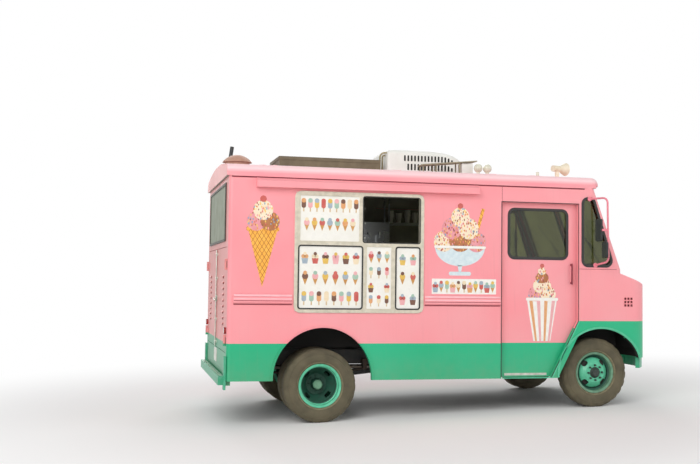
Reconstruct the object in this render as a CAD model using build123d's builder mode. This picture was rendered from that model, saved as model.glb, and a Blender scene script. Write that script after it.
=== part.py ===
from build123d import *
from math import asin, cos, hypot, radians, sin
import os

os.makedirs("parts", exist_ok=True)

# Ice cream truck: a forward-control step van with a serving window on its right side.
# Millimetres. While it is drawn, x runs forward from the rear axle, y to the left from the
# centreline and z up from the ground under the rear axle. The body and frame stand level
# here and are turned nose down by the rake at the end; axles, knuckles and wheels stay level.

# Stance and wheels
WHEELBASE = 3175.0
RAKE = 1.92
TYRE_R = 385.0
TYRE_W = 216.0
SEAT_R = 212.0
FLANGE_R = 229.0
RIM_W = 168.0
RIM_T = 7.0
FRONT_TRACK = 1860.0
REAR_TRACK = 1684.0
DUAL_SPACING = TYRE_W + 54
STUD_CIRCLE_R = 82.55
STUD_R = 7.15
HUB_R = 62.0
RUN = 0.3

# Steering and axles
KINGPIN_Y = FRONT_TRACK / 2 - 150
KINGPIN_R = 14.0
EYE_R = 34.0
EYE_H = 110.0
BEAM_DROP = 55.0
BEAM_W = 60.0
BEAM_H = 70.0
SPINDLE_R = 30.0
STEER_ARM = 170.0
TIE_R = 12.0
TIE_PIN_R = 10.0
REAR_TUBE_R = 45.0
REAR_SPINDLE_R = 38.0
DIFF_R = 150.0

# Chassis frame
RAIL_OUT = 430.0
RAIL_FLANGE = 50.0
RAIL_T = 8.0
RAIL_BOTTOM = 560.0
RAIL_TOP = 720.0
CROSS_H = 80.0
CROSS_W = 60.0

# Body shell. Its rear parts are placed from the rear axle, and the cab from the front one,
# so a longer wheelbase lengthens the load space.
HALF_W = 1125.0
WALL = 50.0
BODY_REAR = -995.0
BODY_TOP = 2565.0
SKIRT_Z = 446.0
APRON_Z = SKIRT_Z - 46
CORNER_R = 40.0
ARCH_X = 17.0
ARCH_Z = TYRE_R + 84
ARCH_R = TYRE_R + 142
DOOR_REAR = WHEELBASE - 1172
DOOR_FRONT = WHEELBASE - 259
DOOR_TOP = BODY_TOP - 185
DOOR_BOTTOM = SKIRT_Z + 13
DIAG_LOW_X = WHEELBASE - 587
DIAG_HIGH_Z = 1074.0
CAB_SPLIT = 1655.0
RAIL_REAR = BODY_REAR + 55
RAIL_FRONT = WHEELBASE + 525
CROSS_X = (RAIL_REAR + 60, -300.0, 700.0, 1500.0, RAIL_FRONT - 60)

# Front of the cab and nose
FRONT_CORNER_R = 70.0
CAB_FRONT_LOW = WHEELBASE + 283
CAB_FRONT_TOP = WHEELBASE - 50
NOSE_FRONT = WHEELBASE + 627
NOSE_CORNER_R = 220.0
NOSE_BOTTOM = 660.0
HOOD_REAR_X = WHEELBASE + 256
HOOD_HINGE_X = WHEELBASE + 315
HOOD_REAR_Z = CAB_SPLIT - 43
HOOD_FRONT_Z = CAB_SPLIT - 180
HOOD_HALF = 600.0
HOOD_GAP = 7.0
GRILLE = (520.0, 970.0, 1300.0)
HOOD_LIP_Z = GRILLE[2] + 50
FRONT_ARCH_X = WHEELBASE + 22
FRONT_ARCH_Z = TYRE_R + 95
FRONT_ARCH_R = TYRE_R + 123
FRONT_ARCH_FOOT = FRONT_ARCH_X - 524

# Roof
ROOF_REAR = BODY_REAR - 25
ROOF_FRONT = WHEELBASE + 21
ROOF_NOTCH = ROOF_FRONT - 53
ROOF_CORNER_R = 110.0
ROOF_EDGE_R = 85.0
ROOF_SIDE_Z = BODY_TOP + 114
ROOF_CROWN_Z = BODY_TOP + 195
PEAK_LIFT = 25.0
ROOF_T = 40.0
GUTTER = 14.0
GUTTER_REAR = BODY_REAR + 20
GUTTER_FRONT = WHEELBASE - 179

# Sliding cab door
DOOR_T = 32.0
DOOR_GAP = 8.0
DOOR_LAP = 18.0
DOOR_GLASS = (DOOR_REAR + 109, DOOR_REAR + 798, 1770.0, DOOR_TOP - 76)
DOOR_GLASS_R = 60.0
HANDLE_X = DOOR_REAR + 849
HANDLE_Z = (1482.0, 1714.0)
TRACK_Z = DOOR_TOP + 48
POCKET_X = DOOR_REAR - 843

# Floor
FLOOR_TOP = RAIL_TOP + 80
FLOOR_T = 40.0
BOX_T = 20.0
HOUSE_IN = (REAR_TRACK - DUAL_SPACING - TYRE_W) / 2 - 39
HOUSE_TOP = ARCH_Z + ARCH_R + 34
POCKET_IN = HALF_W - WALL - DOOR_GAP - DOOR_T - 13
STEP_Z = SKIRT_Z + 44
STEP_X0 = DOOR_REAR + 47
STEP_X1 = STEP_X0 + 550
STEP_IN = 700.0
FIREWALL_TOP = CAB_SPLIT - 60
FIREWALL_X = CAB_FRONT_LOW - WALL - BOX_T - 8

# Serving side: x0, x1, z0, z1 of the frame, then of each pane between its bars
WINDOW = (-307.0, 1105.0, 1151.0, BODY_TOP - 137)
BAR_Z = (1857.0, 1899.0)
PANES = {
    "upper_board": (WINDOW[0] + 53, WINDOW[0] + 697, BAR_Z[1], WINDOW[3] - 44),
    "opening": (WINDOW[0] + 737, WINDOW[1] - 46, BAR_Z[1], WINDOW[3] - 44),
    "lower_board": (WINDOW[0] + 42, WINDOW[0] + 735, WINDOW[2] + 41, BAR_Z[0]),
    "narrow_board": (WINDOW[0] + 774, WINDOW[0] + 1054, WINDOW[2] + 41, BAR_Z[0]),
    "side_board": (WINDOW[0] + 1097, WINDOW[1] - 42, WINDOW[2] + 41, BAR_Z[0]),
}
PANE_R = 14.0
FRAME_LIP = 22.0
FRAME_PROUD = 12.0
BOARD_T = 10.0

# Rear doors
REAR_DOOR_HALF = HALF_W - 125
REAR_DOOR_Z0 = 730.0
REAR_DOOR_Z1 = 1830.0
REAR_DOOR_T = 40.0
REAR_GAP = 6.0
HINGE_R = 14.0
HINGE_PIN_R = 6.0
HINGE_Z = (860.0, 1645.0)


def body_point(x, z):
    """Place on the unraked body of a point given level."""
    a = radians(RAKE)
    return x * cos(a) - (z - TYRE_R) * sin(a), TYRE_R + x * sin(a) + (z - TYRE_R) * cos(a)


AXLE_BX, AXLE_BZ = body_point(WHEELBASE, TYRE_R)
RIGHT_FACE = Plane.XZ.offset(HALF_W)
PIECES = []


def keep(piece, node, raked=True):
    """Put a finished piece on the list, with its name and whether it turns with the body."""
    piece.label = node
    PIECES.append((node, piece, raked))


def left_of(part):
    """The same piece for the other side of the vehicle."""
    return part.mirror(Plane.XZ)


# Chassis frame: two channel rails with the cross members riveted between their webs
with BuildPart() as chassis_frame:
    for side in (1, -1):
        with BuildSketch(Plane.YZ.offset(RAIL_REAR)):
            with Locations((side * (RAIL_OUT - RAIL_FLANGE / 2), (RAIL_BOTTOM + RAIL_TOP) / 2)):
                Rectangle(RAIL_FLANGE, RAIL_TOP - RAIL_BOTTOM)
            with Locations((side * (RAIL_OUT - RAIL_T - RAIL_FLANGE / 2), (RAIL_BOTTOM + RAIL_TOP) / 2)):
                Rectangle(RAIL_FLANGE, RAIL_TOP - RAIL_BOTTOM - 2 * RAIL_T, mode=Mode.SUBTRACT)
        extrude(amount=RAIL_FRONT - RAIL_REAR)
    for x in CROSS_X:
        with Locations((x, 0, RAIL_TOP - RAIL_T - RUN - CROSS_H / 2)):
            Box(CROSS_W, 2 * (RAIL_OUT - RAIL_T - RUN), CROSS_H)
        with Locations((x, 0, RAIL_TOP - RAIL_T - CROSS_H / 2 - RAIL_T)):
            Box(CROSS_W - 2 * RAIL_T, 2 * (RAIL_OUT - RAIL_FLANGE), CROSS_H, mode=Mode.SUBTRACT)
keep(chassis_frame.part, "chassis_frame")

# Axles: a dropped beam in front with an eye for each kingpin, and a tube with its
# differential behind
with BuildPart() as axles:
    beam_z = TYRE_R - BEAM_DROP
    with BuildSketch(Plane.YZ.offset(WHEELBASE - BEAM_W / 2)):
        with BuildLine():
            Polyline(
                (KINGPIN_Y, TYRE_R - EYE_H / 2 + 12), (KINGPIN_Y - 210, beam_z - BEAM_H / 2),
                (-KINGPIN_Y + 210, beam_z - BEAM_H / 2), (-KINGPIN_Y, TYRE_R - EYE_H / 2 + 12),
                (-KINGPIN_Y, TYRE_R + EYE_H / 2 - 12), (-KINGPIN_Y + 90, TYRE_R + EYE_H / 2 - 24),
                (-KINGPIN_Y + 230, beam_z + BEAM_H / 2 - 10), (KINGPIN_Y - 230, beam_z + BEAM_H / 2 - 10),
                (KINGPIN_Y - 90, TYRE_R + EYE_H / 2 - 24), (KINGPIN_Y, TYRE_R + EYE_H / 2 - 12),
                close=True,
            )
        make_face()
    extrude(amount=BEAM_W)
    for side in (1, -1):
        with Locations((WHEELBASE, side * KINGPIN_Y, TYRE_R)):
            Cylinder(EYE_R, EYE_H)
            Cylinder(KINGPIN_R + RUN, EYE_H, mode=Mode.SUBTRACT)
        with Locations(Location((WHEELBASE, side * (RAIL_OUT - 35), beam_z), (90, 0, 0))):
            Cylinder(BEAM_H / 2 + 3, 80)
    with Locations(Location((0, 0, TYRE_R), (90, 0, 0))):
        Cylinder(REAR_TUBE_R, REAR_TRACK - 2 * 140)
        Cylinder(REAR_SPINDLE_R, REAR_TRACK + 2 * 110)
        Cylinder(DIFF_R, 150)
        Cylinder(DIFF_R - 50, 240)
    with Locations(Location((DIFF_R + 20, 0, TYRE_R), (0, 90, 0))):
        Cylinder(60, 90)
    for side in (1, -1):
        with Locations(Location((0, side * (REAR_TRACK / 2 - 136), TYRE_R), (90, 0, 0))):
            Cylinder(143, 8)
keep(axles.part, "axles", raked=False)

# Springs: a leaf pack and two eyes at each corner, hung from the rails
FRONT_SPRING_HALF = 520.0
REAR_SPRING_HALF = 620.0
LEAF_T = 10.0
front_seat = AXLE_BZ - BEAM_DROP + BEAM_H / 2 + 3
SPRINGS = (
    # x, side place, bottom of the pack, half length, leaves, width
    (AXLE_BX, RAIL_OUT - 35, front_seat + RUN, FRONT_SPRING_HALF, 3, 60.0),
    (0.0, RAIL_OUT + 66, TYRE_R + REAR_TUBE_R + RUN, REAR_SPRING_HALF, 4, 70.0),
)
with BuildPart() as springs:
    for x, y, bottom, half, leaves, width in SPRINGS:
        rise = RAIL_BOTTOM - 40 - bottom
        for side in (1, -1):
            with BuildSketch(Plane.XZ.offset(-side * y - width / 2)):
                with BuildLine():
                    Polyline(
                        (x - 90, bottom), (x + 90, bottom), (x + half * 0.55, bottom + rise * 0.3),
                        (x + half, bottom + rise - LEAF_T), (x + half, bottom + rise),
                        (x + half * 0.55, bottom + rise * 0.3 + LEAF_T * 2),
                        (x + 90, bottom + LEAF_T * leaves), (x - 90, bottom + LEAF_T * leaves),
                        (x - half * 0.55, bottom + rise * 0.3 + LEAF_T * 2),
                        (x - half, bottom + rise), (x - half, bottom + rise - LEAF_T),
                        (x - half * 0.55, bottom + rise * 0.3), close=True,
                    )
                make_face()
            extrude(amount=width)
            for end in (1, -1):
                with Locations(Location((x + end * half, side * y, bottom + rise), (90, 0, 0))):
                    Cylinder(22, width)
                with Locations((x + end * half, side * y, (bottom + rise + RAIL_BOTTOM) / 2)):
                    Box(44, width, RAIL_BOTTOM - bottom - rise)
        if y > RAIL_OUT:
            for side in (1, -1):
                for end in (1, -1):
                    with Locations((x + end * half, side * (RAIL_OUT + (y + width / 2 - RAIL_OUT) / 2), RAIL_BOTTOM + 30)):
                        Box(60, y + width / 2 - RAIL_OUT, 60)
keep(springs.part, "springs")

# Engine: one block with its gearbox, and the shaft that turns the rear axle
ENGINE_X = (WHEELBASE - 345, WHEELBASE + 385)
ENGINE_Y = 230.0
ENGINE_Z = (525.0, 1080.0)
GEARBOX_X = WHEELBASE - 925
GEARBOX_R = 115.0
SHAFT_Z = 610.0
SHAFT_R = 38.0
SHAFT_GAP = 5.0
PINION_X = DIFF_R + 65
MOUNT_T = 32.0
shaft_line = Vector(GEARBOX_X - PINION_X, 0, SHAFT_Z - TYRE_R)
with BuildPart() as shaft:
    with BuildSketch(Plane(origin=(PINION_X + SHAFT_GAP, 0, TYRE_R), z_dir=shaft_line)):
        Circle(SHAFT_R)
    extrude(amount=shaft_line.length + SHAFT_R)
    split(bisect_by=Plane.YZ.offset(GEARBOX_X - RUN), keep=Keep.BOTTOM)
with BuildPart() as engine:
    with Locations(((ENGINE_X[0] + ENGINE_X[1]) / 2, 0, sum(ENGINE_Z) / 2)):
        Box(ENGINE_X[1] - ENGINE_X[0], 2 * ENGINE_Y, ENGINE_Z[1] - ENGINE_Z[0])
    with BuildSketch(Plane.YZ.offset(GEARBOX_X)):
        with Locations((0, SHAFT_Z)):
            Circle(GEARBOX_R)
    extrude(amount=ENGINE_X[0] - GEARBOX_X)
    with Locations((WHEELBASE - 25, 0, RAIL_BOTTOM + RAIL_T + MOUNT_T / 2)):
        Box(80, 2 * (RAIL_OUT - RAIL_T - RUN), MOUNT_T)
    add(shaft.part)
keep(engine.part, "engine")

# Fuel tank on the left rail, and the exhaust under the right one
TANK = (900.0, 1700.0, 440.0, 820.0, 470.0, 710.0)
with BuildPart() as fuel_tank:
    with BuildSketch(Plane.YZ.offset(TANK[0])):
        with Locations(((TANK[2] + TANK[3]) / 2, (TANK[4] + TANK[5]) / 2)):
            RectangleRounded(TANK[3] - TANK[2], TANK[5] - TANK[4], 50)
    extrude(amount=TANK[1] - TANK[0])
    for x in (TANK[0] + 150, TANK[1] - 150):
        with Locations((x, (RAIL_OUT + TANK[2] + 30) / 2, (TANK[4] + TANK[5]) / 2)):
            Box(50, TANK[2] + 30 - RAIL_OUT, TANK[5] - TANK[4] - 110)
keep(fuel_tank.part, "fuel_tank")

PIPE_Y = -300.0
PIPE_Z = 520.0
PIPE_R = 25.0
PIPE_X = (BODY_REAR + WALL + 25, WHEELBASE - 425)
MUFFLER = (1050.0, 1650.0, 85.0)
with BuildPart() as exhaust:
    with BuildSketch(Plane.YZ.offset(PIPE_X[0])):
        with Locations((PIPE_Y, PIPE_Z)):
            Circle(PIPE_R)
            Circle(PIPE_R - 3, mode=Mode.SUBTRACT)
    extrude(amount=PIPE_X[1] - PIPE_X[0])
    with BuildSketch(Plane.YZ.offset(MUFFLER[0])):
        with Locations((PIPE_Y, PIPE_Z)):
            RectangleRounded(2 * MUFFLER[2], 2 * MUFFLER[2] - 30, MUFFLER[2] - 20)
    extrude(amount=MUFFLER[1] - MUFFLER[0])
    for x in (CROSS_X[1], CROSS_X[3]):
        hang = RAIL_TOP - RAIL_T - RUN - CROSS_H
        with Locations((x, PIPE_Y, (hang + PIPE_Z + PIPE_R) / 2 - 2)):
            Box(CROSS_W, 6, hang - PIPE_Z - PIPE_R + 4)
keep(exhaust.part, "exhaust")

# Floor: a load plate on its sills, the cab plate in front of it, the firewall, and set in
# them the boxes over the wheels and the step wells behind the front ones
REAR_HOUSE = (ARCH_X - ARCH_R - BOX_T, ARCH_X + ARCH_R + BOX_T)
FRONT_HOUSE = (FRONT_ARCH_FOOT - 35, NOSE_FRONT - WALL - 62)
ENGINE_HOLE = (ENGINE_X[0] - 40, 2 * (ENGINE_Y + 70))
SILL_X = (-760.0, 800.0, 1200.0, DOOR_REAR - 203)
SILL_W = 50.0
SEAM_X = SILL_X[-1] + SILL_W / 2 + RUN
COVER_GAP = 60.0
inner_y = HALF_W - WALL
HOUSES = (
    # x from and to, distance from the centreline on the outside
    (*REAR_HOUSE, inner_y),
    (*FRONT_HOUSE, POCKET_IN),
)
deck_low = FLOOR_TOP - FLOOR_T
well_x0 = STEP_X0 - BOX_T
well_x1 = STEP_X1 + BOX_T
well_in = STEP_IN - BOX_T
with BuildPart() as deck:
    with BuildSketch(Plane.XY.offset(deck_low)):
        with BuildLine():
            Polyline(
                (BODY_REAR + WALL, inner_y), (POCKET_X, inner_y), (POCKET_X, POCKET_IN),
                (FIREWALL_X, POCKET_IN), (FIREWALL_X, -POCKET_IN), (POCKET_X, -POCKET_IN),
                (POCKET_X, -inner_y), (BODY_REAR + WALL, -inner_y), close=True,
            )
        make_face()
        with Locations(((ENGINE_HOLE[0] + FIREWALL_X) / 2 + BOX_T, 0)):
            Rectangle(FIREWALL_X - ENGINE_HOLE[0] + 2 * BOX_T, ENGINE_HOLE[1], mode=Mode.SUBTRACT)
        for side in (1, -1):
            for x0, x1, out in HOUSES:
                with Locations(((x0 + x1) / 2, side * (HOUSE_IN + out + BOX_T) / 2)):
                    Rectangle(x1 - x0 + 2 * RUN, out + BOX_T - HOUSE_IN + 2 * RUN, mode=Mode.SUBTRACT)
            wide = POCKET_IN + BOX_T - well_in + 2 * RUN
            with Locations(((well_x0 + well_x1) / 2, side * (well_in + POCKET_IN + BOX_T) / 2)):
                Rectangle(well_x1 - well_x0 + 2 * RUN, wide, mode=Mode.SUBTRACT)
        with Locations((SEAM_X, 0)):
            Rectangle(RUN, 2 * HALF_W, mode=Mode.SUBTRACT)
    extrude(amount=FLOOR_T)
    for x in SILL_X:
        with Locations((x, 0, (RAIL_TOP + deck_low) / 2)):
            Box(SILL_W, 2 * POCKET_IN, deck_low - RAIL_TOP)
    with BuildSketch(Plane.YZ.offset(FIREWALL_X + RUN)):
        with Locations((0, (HOUSE_TOP + RUN + FIREWALL_TOP) / 2)):
            Rectangle(2 * POCKET_IN, FIREWALL_TOP - HOUSE_TOP - RUN)
        with Locations((0, (deck_low + HOUSE_TOP + BOX_T) / 2)):
            Rectangle(2 * (HOUSE_IN - RUN), HOUSE_TOP + BOX_T - deck_low)
        with Locations((0, (deck_low + ENGINE_Z[1] + COVER_GAP) / 2)):
            Rectangle(ENGINE_HOLE[1], ENGINE_Z[1] + COVER_GAP - deck_low, mode=Mode.SUBTRACT)
    extrude(amount=BOX_T - RUN)
with BuildPart() as wells:
    for side in (1, -1):
        for x0, x1, out in HOUSES:
            middle = ((x0 + x1) / 2, side * (HOUSE_IN + out) / 2, (deck_low + HOUSE_TOP) / 2)
            with Locations(middle):
                Box(x1 - x0, out - HOUSE_IN, HOUSE_TOP - deck_low)
            inner = (x1 - x0 - 2 * BOX_T, out - HOUSE_IN, HOUSE_TOP - deck_low)
            with Locations((middle[0], middle[1] + side * BOX_T, middle[2] - BOX_T)):
                Box(*inner, mode=Mode.SUBTRACT)
        middle = ((well_x0 + well_x1) / 2, side * (well_in + POCKET_IN) / 2, (STEP_Z - BOX_T + FLOOR_TOP) / 2)
        with Locations(middle):
            Box(well_x1 - well_x0, POCKET_IN - well_in, FLOOR_TOP - STEP_Z + BOX_T)
        inner = (STEP_X1 - STEP_X0, POCKET_IN - STEP_IN + 2 * BOX_T, FLOOR_TOP - STEP_Z + 2 * BOX_T)
        middle = ((STEP_X0 + STEP_X1) / 2, side * ((STEP_IN + POCKET_IN) / 2 + BOX_T), (STEP_Z + FLOOR_TOP) / 2 + BOX_T)
        with Locations(middle):
            Box(*inner, mode=Mode.SUBTRACT)
with BuildPart() as floor:
    add(deck.part)
    add(wells.part)
keep(floor.part, "floor")


# Side walls: flat panels with the wheel arch, the door opening and two pressed rails,
# rounded at the rear corner
RAIL_BEAD = (1240.0, 1338.0, 14.0)
BEAD_SPANS = ((BODY_REAR + 60, WINDOW[0] - 12), (WINDOW[1] + 12, DOOR_REAR - 12))


def side_wall(serving):
    """The right-hand wall, with or without the hole for the serving window."""
    with BuildPart() as wall:
        with BuildSketch(RIGHT_FACE):
            with BuildLine():
                Polyline(
                    (BODY_REAR, SKIRT_Z), (DOOR_REAR, SKIRT_Z), (DOOR_REAR, DOOR_TOP),
                    (DOOR_FRONT, DOOR_TOP), (DOOR_FRONT, BODY_TOP), (BODY_REAR, BODY_TOP), close=True,
                )
            make_face()
            with Locations((ARCH_X, ARCH_Z)):
                Circle(ARCH_R, mode=Mode.SUBTRACT)
            with Locations((ARCH_X, SKIRT_Z - 50)):
                Rectangle(2 * ARCH_R, 146, mode=Mode.SUBTRACT)
            if serving:
                x0, x1, z0, z1 = WINDOW
                with Locations(((x0 + x1) / 2, (z0 + z1) / 2)):
                    Rectangle(x1 - x0 - 2 * FRAME_LIP, z1 - z0 - 2 * FRAME_LIP, mode=Mode.SUBTRACT)
        extrude(amount=-WALL)
        fillet(wall.edges().filter_by(Axis.Z).group_by(Axis.X)[0].sort_by(Axis.Y)[0], CORNER_R)
        spans = BEAD_SPANS if serving else ((BEAD_SPANS[0][0], BEAD_SPANS[1][1]),)
        z0, z1, proud = RAIL_BEAD
        for x0, x1 in spans:
            with BuildSketch(Plane.YZ.offset(x0)):
                with BuildLine():
                    Polyline(
                        (-HALF_W + 1, z0), (-HALF_W, z0), (-HALF_W - proud, z0 + 14), (-HALF_W - proud, z1 - 30),
                        (-HALF_W, z1), (-HALF_W + 1, z1), close=True,
                    )
                make_face()
            extrude(amount=x1 - x0)
        with BuildSketch(Plane.YZ.offset(POCKET_X - 10)):
            with BuildLine():
                Polyline(
                    (-inner_y, TRACK_Z), (-inner_y + 66, TRACK_Z), (-inner_y + 66, TRACK_Z + 15),
                    (-inner_y + 58, TRACK_Z + 15), (-inner_y + 58, TRACK_Z + 8), (-inner_y, TRACK_Z + 8), close=True,
                )
            make_face()
        extrude(amount=DOOR_FRONT - POCKET_X + 10)
    return wall.part


keep(side_wall(True), "side_right")
keep(left_of(side_wall(False)), "side_left")

# Rear wall between the sides, with the opening of the two lower doors, the frame of the
# board above them and the hinge pins on its corners
BOARD = (870.0, 1890.0, BODY_TOP - 55)
with BuildPart() as rear_wall:
    with BuildSketch(Plane.YZ.offset(BODY_REAR)):
        with Locations((0, (APRON_Z + BODY_TOP) / 2)):
            Rectangle(2 * inner_y, BODY_TOP - APRON_Z)
        with Locations((0, (REAR_DOOR_Z0 + REAR_DOOR_Z1) / 2)):
            Rectangle(2 * REAR_DOOR_HALF, REAR_DOOR_Z1 - REAR_DOOR_Z0, mode=Mode.SUBTRACT)
    extrude(amount=WALL)
    with BuildSketch(Plane.YZ.offset(BODY_REAR - 14)):
        with Locations((0, (BOARD[1] + BOARD[2]) / 2)):
            Rectangle(2 * BOARD[0], BOARD[2] - BOARD[1])
            Rectangle(2 * BOARD[0] - 50, BOARD[2] - BOARD[1] - 50, mode=Mode.SUBTRACT)
    extrude(amount=15)
    with BuildSketch(Plane.YZ.offset(BODY_REAR - 5)):
        with Locations((0, (BOARD[1] + BOARD[2]) / 2)):
            Rectangle(2 * BOARD[0] - 50, BOARD[2] - BOARD[1] - 50)
    extrude(amount=6)
    for side in (1, -1):
        for z in HINGE_Z:
            hinge_y = side * (REAR_DOOR_HALF + 45)
            with Locations((BODY_REAR - HINGE_R, hinge_y, z)):
                Cylinder(HINGE_PIN_R, 112)
            for end in (1, -1):
                with Locations((BODY_REAR - HINGE_R, hinge_y, z + end * 46)):
                    Cylinder(HINGE_R, 20)
                with Locations((BODY_REAR - HINGE_R / 2 + 2, hinge_y, z + end * 46)):
                    Box(HINGE_R + 4, 2 * HINGE_R, 20)
keep(rear_wall.part, "rear_wall")

# Rear doors: flat doors with a column of louvres, each on two strap hinges
LOUVRES = 9
LOUVRE_Z = (985.0, 1545.0)
LOUVRE_Y = 700.0
LOUVRE_W = 110.0
hinge_y = REAR_DOOR_HALF + 45
with BuildPart() as rear_door:
    z0 = REAR_DOOR_Z0 + REAR_GAP
    z1 = REAR_DOOR_Z1 - REAR_GAP
    y0 = REAR_GAP / 2
    y1 = REAR_DOOR_HALF - REAR_GAP
    with BuildSketch(Plane.YZ.offset(BODY_REAR)):
        with Locations((-(y0 + y1) / 2, (z0 + z1) / 2)):
            Rectangle(y1 - y0, z1 - z0)
    extrude(amount=REAR_DOOR_T)
    pitch = (LOUVRE_Z[1] - LOUVRE_Z[0]) / LOUVRES
    for i in range(LOUVRES):
        z = LOUVRE_Z[0] + (i + 0.5) * pitch
        with Locations((BODY_REAR + REAR_DOOR_T / 2, -LOUVRE_Y, z - 4)):
            Box(REAR_DOOR_T + 2, LOUVRE_W, 22, mode=Mode.SUBTRACT)
        with BuildSketch(Plane.XZ.offset(LOUVRE_Y - LOUVRE_W / 2 - 6)):
            with BuildLine():
                Polyline(
                    (BODY_REAR + 4, z + 26), (BODY_REAR - 14, z + 2), (BODY_REAR - 14, z - 2),
                    (BODY_REAR + 4, z + 14), close=True,
                )
            make_face()
        extrude(amount=LOUVRE_W + 12)
    for z in HINGE_Z:
        with Locations((BODY_REAR - 4, -(REAR_DOOR_HALF - 100 + hinge_y) / 2, z)):
            Box(8, hinge_y - REAR_DOOR_HALF + 100, 66)
        with Locations((BODY_REAR - HINGE_R, -hinge_y, z)):
            Cylinder(HINGE_R, 66)
    for z in HINGE_Z:
        with Locations((BODY_REAR - HINGE_R, -hinge_y, z)):
            Cylinder(HINGE_PIN_R + RUN, 66, mode=Mode.SUBTRACT)
        with Locations((BODY_REAR + 20, -hinge_y, z)):
            Box(40, 4 * HINGE_R, 80, mode=Mode.SUBTRACT)
keep(rear_door.part, "rear_door_right")
keep(left_of(rear_door.part), "rear_door_left")


# Front of the cab: the frame of the windscreen and quarter windows, lofted from the cowl to
# the roof, and the glass set in its thickness
QUARTER_Z = (CAB_SPLIT + 39, BODY_TOP - 118)
QUARTER = (
    (DOOR_FRONT + 55, QUARTER_Z[0]), (CAB_FRONT_LOW - 118, QUARTER_Z[0]),
    (CAB_FRONT_TOP - 27, QUARTER_Z[1]), (DOOR_FRONT + 55, QUARTER_Z[1]),
)
QUARTER_R = 60.0
SCREEN = (28.0, HALF_W - 135, CAB_SPLIT + 70, BODY_TOP - 80)
SCREEN_R = 70.0
GLASS_IN = 20.0
GLASS_T = 6.0


def plan(front, half, corner, rear):
    """Outline from above of a body section with rounded front corners."""
    with BuildSketch() as outline:
        with Locations(((front + rear) / 2, 0)):
            Rectangle(front - rear, 2 * half)
        fillet(outline.vertices().group_by(Axis.X)[-1], corner)
    return outline.sketch


def cab_block(inset, rear=DOOR_FRONT):
    """The upper cab as one block, its faces moved in by the inset."""
    with BuildPart() as block:
        for z, front in ((CAB_SPLIT, CAB_FRONT_LOW), (BODY_TOP, CAB_FRONT_TOP)):
            with BuildSketch(Plane.XY.offset(z)):
                add(plan(front - inset, HALF_W - inset, FRONT_CORNER_R - inset, rear))
        loft()
    return block.part


def cab_windows(shrink):
    """Prisms through the two panes of the windscreen and through the quarter windows."""
    y0, y1, z0, z1 = SCREEN
    with BuildPart() as prisms:
        with BuildSketch(Plane.YZ.offset(CAB_FRONT_TOP - 150)):
            for side in (1, -1):
                with Locations((side * (y0 + y1) / 2, (z0 + z1) / 2)):
                    RectangleRounded(y1 - y0 - 2 * shrink, z1 - z0 - 2 * shrink, SCREEN_R)
        extrude(amount=600)
        with BuildSketch(Plane.XZ.offset(HALF_W + 50)) as quarter:
            with BuildLine():
                Polyline(*QUARTER, close=True)
            make_face()
            fillet(quarter.vertices(), QUARTER_R)
            if shrink:
                offset(amount=-shrink)
        extrude(amount=-2 * HALF_W - 100)
    return prisms.part


with BuildPart() as cab_front:
    add(cab_block(0))
    add(cab_block(WALL, DOOR_FRONT - 10), mode=Mode.SUBTRACT)
    add(cab_windows(0), mode=Mode.SUBTRACT)
keep(cab_front.part, "cab_front")

with BuildPart() as cab_glass:
    add(cab_block(GLASS_IN))
    add(cab_block(GLASS_IN + GLASS_T, DOOR_FRONT - 10), mode=Mode.SUBTRACT)
    add(cab_windows(RUN), mode=Mode.INTERSECT)
keep(cab_glass.part, "cab_glass")

# Nose: fender sides and front panel in one shell, with the wheel arches, the hood's
# opening, the grille's opening, the lamp holes and the cooling slots at its corners
LAMP_Y = 720.0
LAMP_Z = 1150.0
LAMP_R = 89.0
BEZEL_R = 112.0
VENT = (CAB_FRONT_LOW + 34, 1236.0, 38.0, 26.0, 3)
slope = (HOOD_REAR_Z - HOOD_FRONT_Z) / (NOSE_FRONT - HOOD_REAR_X)
diag = (DOOR_FRONT - DIAG_LOW_X) / (DIAG_HIGH_Z - SKIRT_Z)


def hood_z(x, inset=0.0):
    """Height of the sloping top of the nose, moved in by the inset."""
    return HOOD_REAR_Z - (x - HOOD_REAR_X) * slope - inset * hypot(1, slope)


HOOD_HINGE_Y = HOOD_HALF - 150
HOOD_HINGE_LIFT = 12.0
HOOD_HINGE_Z = hood_z(HOOD_HINGE_X) + HOOD_HINGE_LIFT
HOOD_HINGE_W = 24.0
HOOD_EYE = 25.0
HOOD_EYE_R = 9.0
HOOD_PIN_R = 4.0


def nose_block(inset):
    """The nose as one block from the skirt to its sloping top."""
    with BuildPart() as block:
        with BuildSketch(Plane.XY.offset(SKIRT_Z - inset)):
            add(plan(NOSE_FRONT - inset, HALF_W - inset, NOSE_CORNER_R - inset, DIAG_LOW_X - inset))
        extrude(amount=CAB_SPLIT - SKIRT_Z)
        xa = HOOD_REAR_X - 160
        xb = NOSE_FRONT + 60
        with BuildSketch(Plane.XZ.offset(HALF_W + 50)):
            with BuildLine():
                Polyline((xa, hood_z(xa, inset)), (xb, hood_z(xb, inset)), (xb, 2000), (xa, 2000), close=True)
            make_face()
        extrude(amount=-2 * HALF_W - 100, mode=Mode.SUBTRACT)
    return block.part


def hood_prism(shrink):
    """Space of the hood in the nose: its top and the lip over the front."""
    with BuildPart() as prism:
        x0 = HOOD_HINGE_X + shrink
        x1 = NOSE_FRONT + 30
        with Locations(((x0 + x1) / 2, 0, (HOOD_LIP_Z + shrink + CAB_SPLIT + 30) / 2)):
            Box(x1 - x0, 2 * (HOOD_HALF - shrink), CAB_SPLIT + 30 - HOOD_LIP_Z - shrink)
    return prism.part


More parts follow.
